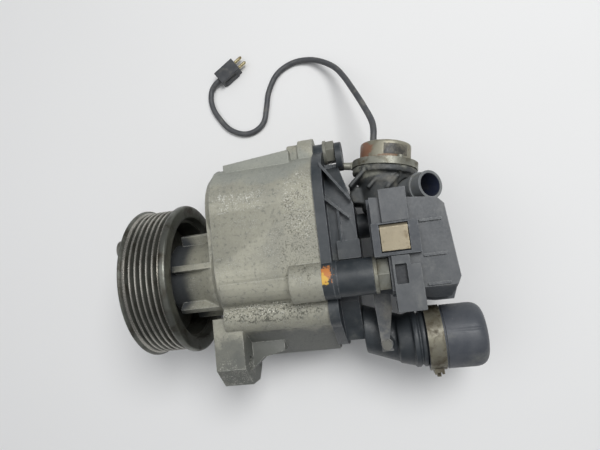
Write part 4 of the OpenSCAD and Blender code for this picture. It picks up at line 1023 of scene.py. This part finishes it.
# The pot's section, the radius that each corner is rounded to, its axis and its parting line.
POT_CORNERS = [(155.5, 15.05), (155.5, 18.0), (166.0, 18.0), (166.0, 18.6), (189.5, 18.6),
               (189.5, 0.01), (186.5, 0.01), (186.5, 15.6), (168.0, 15.6), (168.0, 15.05)]
POT_ROUNDING = [0.3, 0.3, 0.2, 0.5, 9.0, 0.001, 0.001, 6.0, 0.2, 0.2]
POT_AXIS = Matrix.Translation((0, -0.0528, -0.004))
POT_SEAM = dict(angle=math.radians(74), height=0.4, width=0.03, past_radius=17.0, past_along=166.5)


def build_outlet():
    """The outlet elbow, its clamp, the silencer pot and the grey strut."""
    cast_piece("outlet_elbow", 0.6, passes=3)
    soft_piece("hose_clamp", 0.35)
    pot = lathe("silencer_pot_moulded", rounded(POT_CORNERS, POT_ROUNDING, 9), POT_AXIS, 240,
                seam=POT_SEAM)
    place(pot, HOUSING, "silencer_pot")
    dress(pot, slot_finish("silencer_pot"))
    soft_piece("strut_bracket", 0.5)
    plain_pieces("silencer_foam", "strut_screw")


# ---- operators

class SUPERCHARGER_PG_settings(bpy.types.PropertyGroup):
    """Sizes and colours that the pieces are built with."""

    casting_edge: FloatProperty(
        name="Casting edge", description="Width that the casing's corners are softened by",
        default=0.0006, min=0.0001, max=0.002, unit="LENGTH", precision=4)
    casting_colour: FloatVectorProperty(
        name="Casting colour", description="Colour of the cast metal between its worn patches",
        default=FINISH_TABLE["Cast metal"]["colour"], min=0.0, max=1.0, subtype="COLOR")
    lead_thickness: FloatProperty(
        name="Lead thickness", description="Outside diameter of the electrical lead",
        default=0.0042, min=0.002, max=0.008, unit="LENGTH", precision=4)
    lead_colour: FloatVectorProperty(
        name="Lead colour", description="Colour of the electrical lead's sheath",
        default=FINISH_TABLE["Lead sheath"]["colour"], min=0.0, max=1.0, subtype="COLOR")


def settings():
    """The scene's sizes and colours."""
    return bpy.context.scene.supercharger_settings


class SUPERCHARGER_OT_stage(bpy.types.Operator):
    """Sets up the camera, the floor and the studio light"""

    bl_idname = "supercharger.stage"
    bl_label = "Stage"

    def execute(self, context):
        build_stage()
        return {"FINISHED"}


class SUPERCHARGER_OT_lead(bpy.types.Operator):
    """Builds the electrical lead with its plug"""

    bl_idname = "supercharger.lead"
    bl_label = "Lead"

    def execute(self, context):
        build_lead(settings().lead_thickness, tuple(settings().lead_colour))
        return {"FINISHED"}


class SUPERCHARGER_OT_casing(bpy.types.Operator):
    """Builds the cast rotor casing and what is fixed in it"""

    bl_idname = "supercharger.casing"
    bl_label = "Casing"

    def execute(self, context):
        build_casing(settings().casting_edge / MM, tuple(settings().casting_colour))
        return {"FINISHED"}


class SUPERCHARGER_OT_cover(bpy.types.Operator):
    """Builds the rear cover, the long bolt and the hanger eye"""

    bl_idname = "supercharger.cover"
    bl_label = "Rear cover"

    def execute(self, context):
        build_cover()
        return {"FINISHED"}


class SUPERCHARGER_OT_drive(bpy.types.Operator):
    """Builds the pulley, the shafts and the rotors"""

    bl_idname = "supercharger.drive"
    bl_label = "Pulley and shafts"

    def execute(self, context):
        build_drive()
        return {"FINISHED"}


class SUPERCHARGER_OT_valve(bpy.types.Operator):
    """Builds the solenoid shut-off valve"""

    bl_idname = "supercharger.valve"
    bl_label = "Shut-off valve"

    def execute(self, context):
        build_valve()
        return {"FINISHED"}


class SUPERCHARGER_OT_filter_box(bpy.types.Operator):
    """Builds the filter box with its lid, straps, clip and spigot"""

    bl_idname = "supercharger.filter_box"
    bl_label = "Filter box"

    def execute(self, context):
        build_filter_box()
        return {"FINISHED"}


class SUPERCHARGER_OT_outlet(bpy.types.Operator):
    """Builds the outlet elbow, its clamp and the silencer pot"""

    bl_idname = "supercharger.outlet"
    bl_label = "Outlet"

    def execute(self, context):
        build_outlet()
        return {"FINISHED"}


OPERATORS = (
    SUPERCHARGER_OT_stage, SUPERCHARGER_OT_lead, SUPERCHARGER_OT_casing, SUPERCHARGER_OT_cover,
    SUPERCHARGER_OT_drive, SUPERCHARGER_OT_valve, SUPERCHARGER_OT_filter_box,
    SUPERCHARGER_OT_outlet)


class SUPERCHARGER_PT_panel(bpy.types.Panel):
    """Lists the pieces in the sidebar"""

    bl_label = "Supercharger"
    bl_idname = "SUPERCHARGER_PT_panel"
    bl_space_type = "VIEW_3D"
    bl_region_type = "UI"
    bl_category = "Supercharger"

    def draw(self, context):
        for name in ("casting_edge", "casting_colour", "lead_thickness", "lead_colour"):
            self.layout.prop(context.scene.supercharger_settings, name)
        for operator in OPERATORS:
            self.layout.operator(operator.bl_idname)


CLASSES = (SUPERCHARGER_PG_settings, *OPERATORS, SUPERCHARGER_PT_panel)


def register():
    """Adds the settings, the operators and the panel."""
    for cls in CLASSES:
        bpy.utils.register_class(cls)
    bpy.types.Scene.supercharger_settings = bpy.props.PointerProperty(type=SUPERCHARGER_PG_settings)


def unregister():
    """Takes them away again."""
    del bpy.types.Scene.supercharger_settings
    for cls in reversed(CLASSES):
        bpy.utils.unregister_class(cls)


def main():
    """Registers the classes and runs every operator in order."""
    register()
    GROUPS.update(build_groups())
    for operator in OPERATORS:
        group, name = operator.bl_idname.split(".")
        getattr(getattr(bpy.ops, group), name)()


if __name__ == "__main__":
    main()
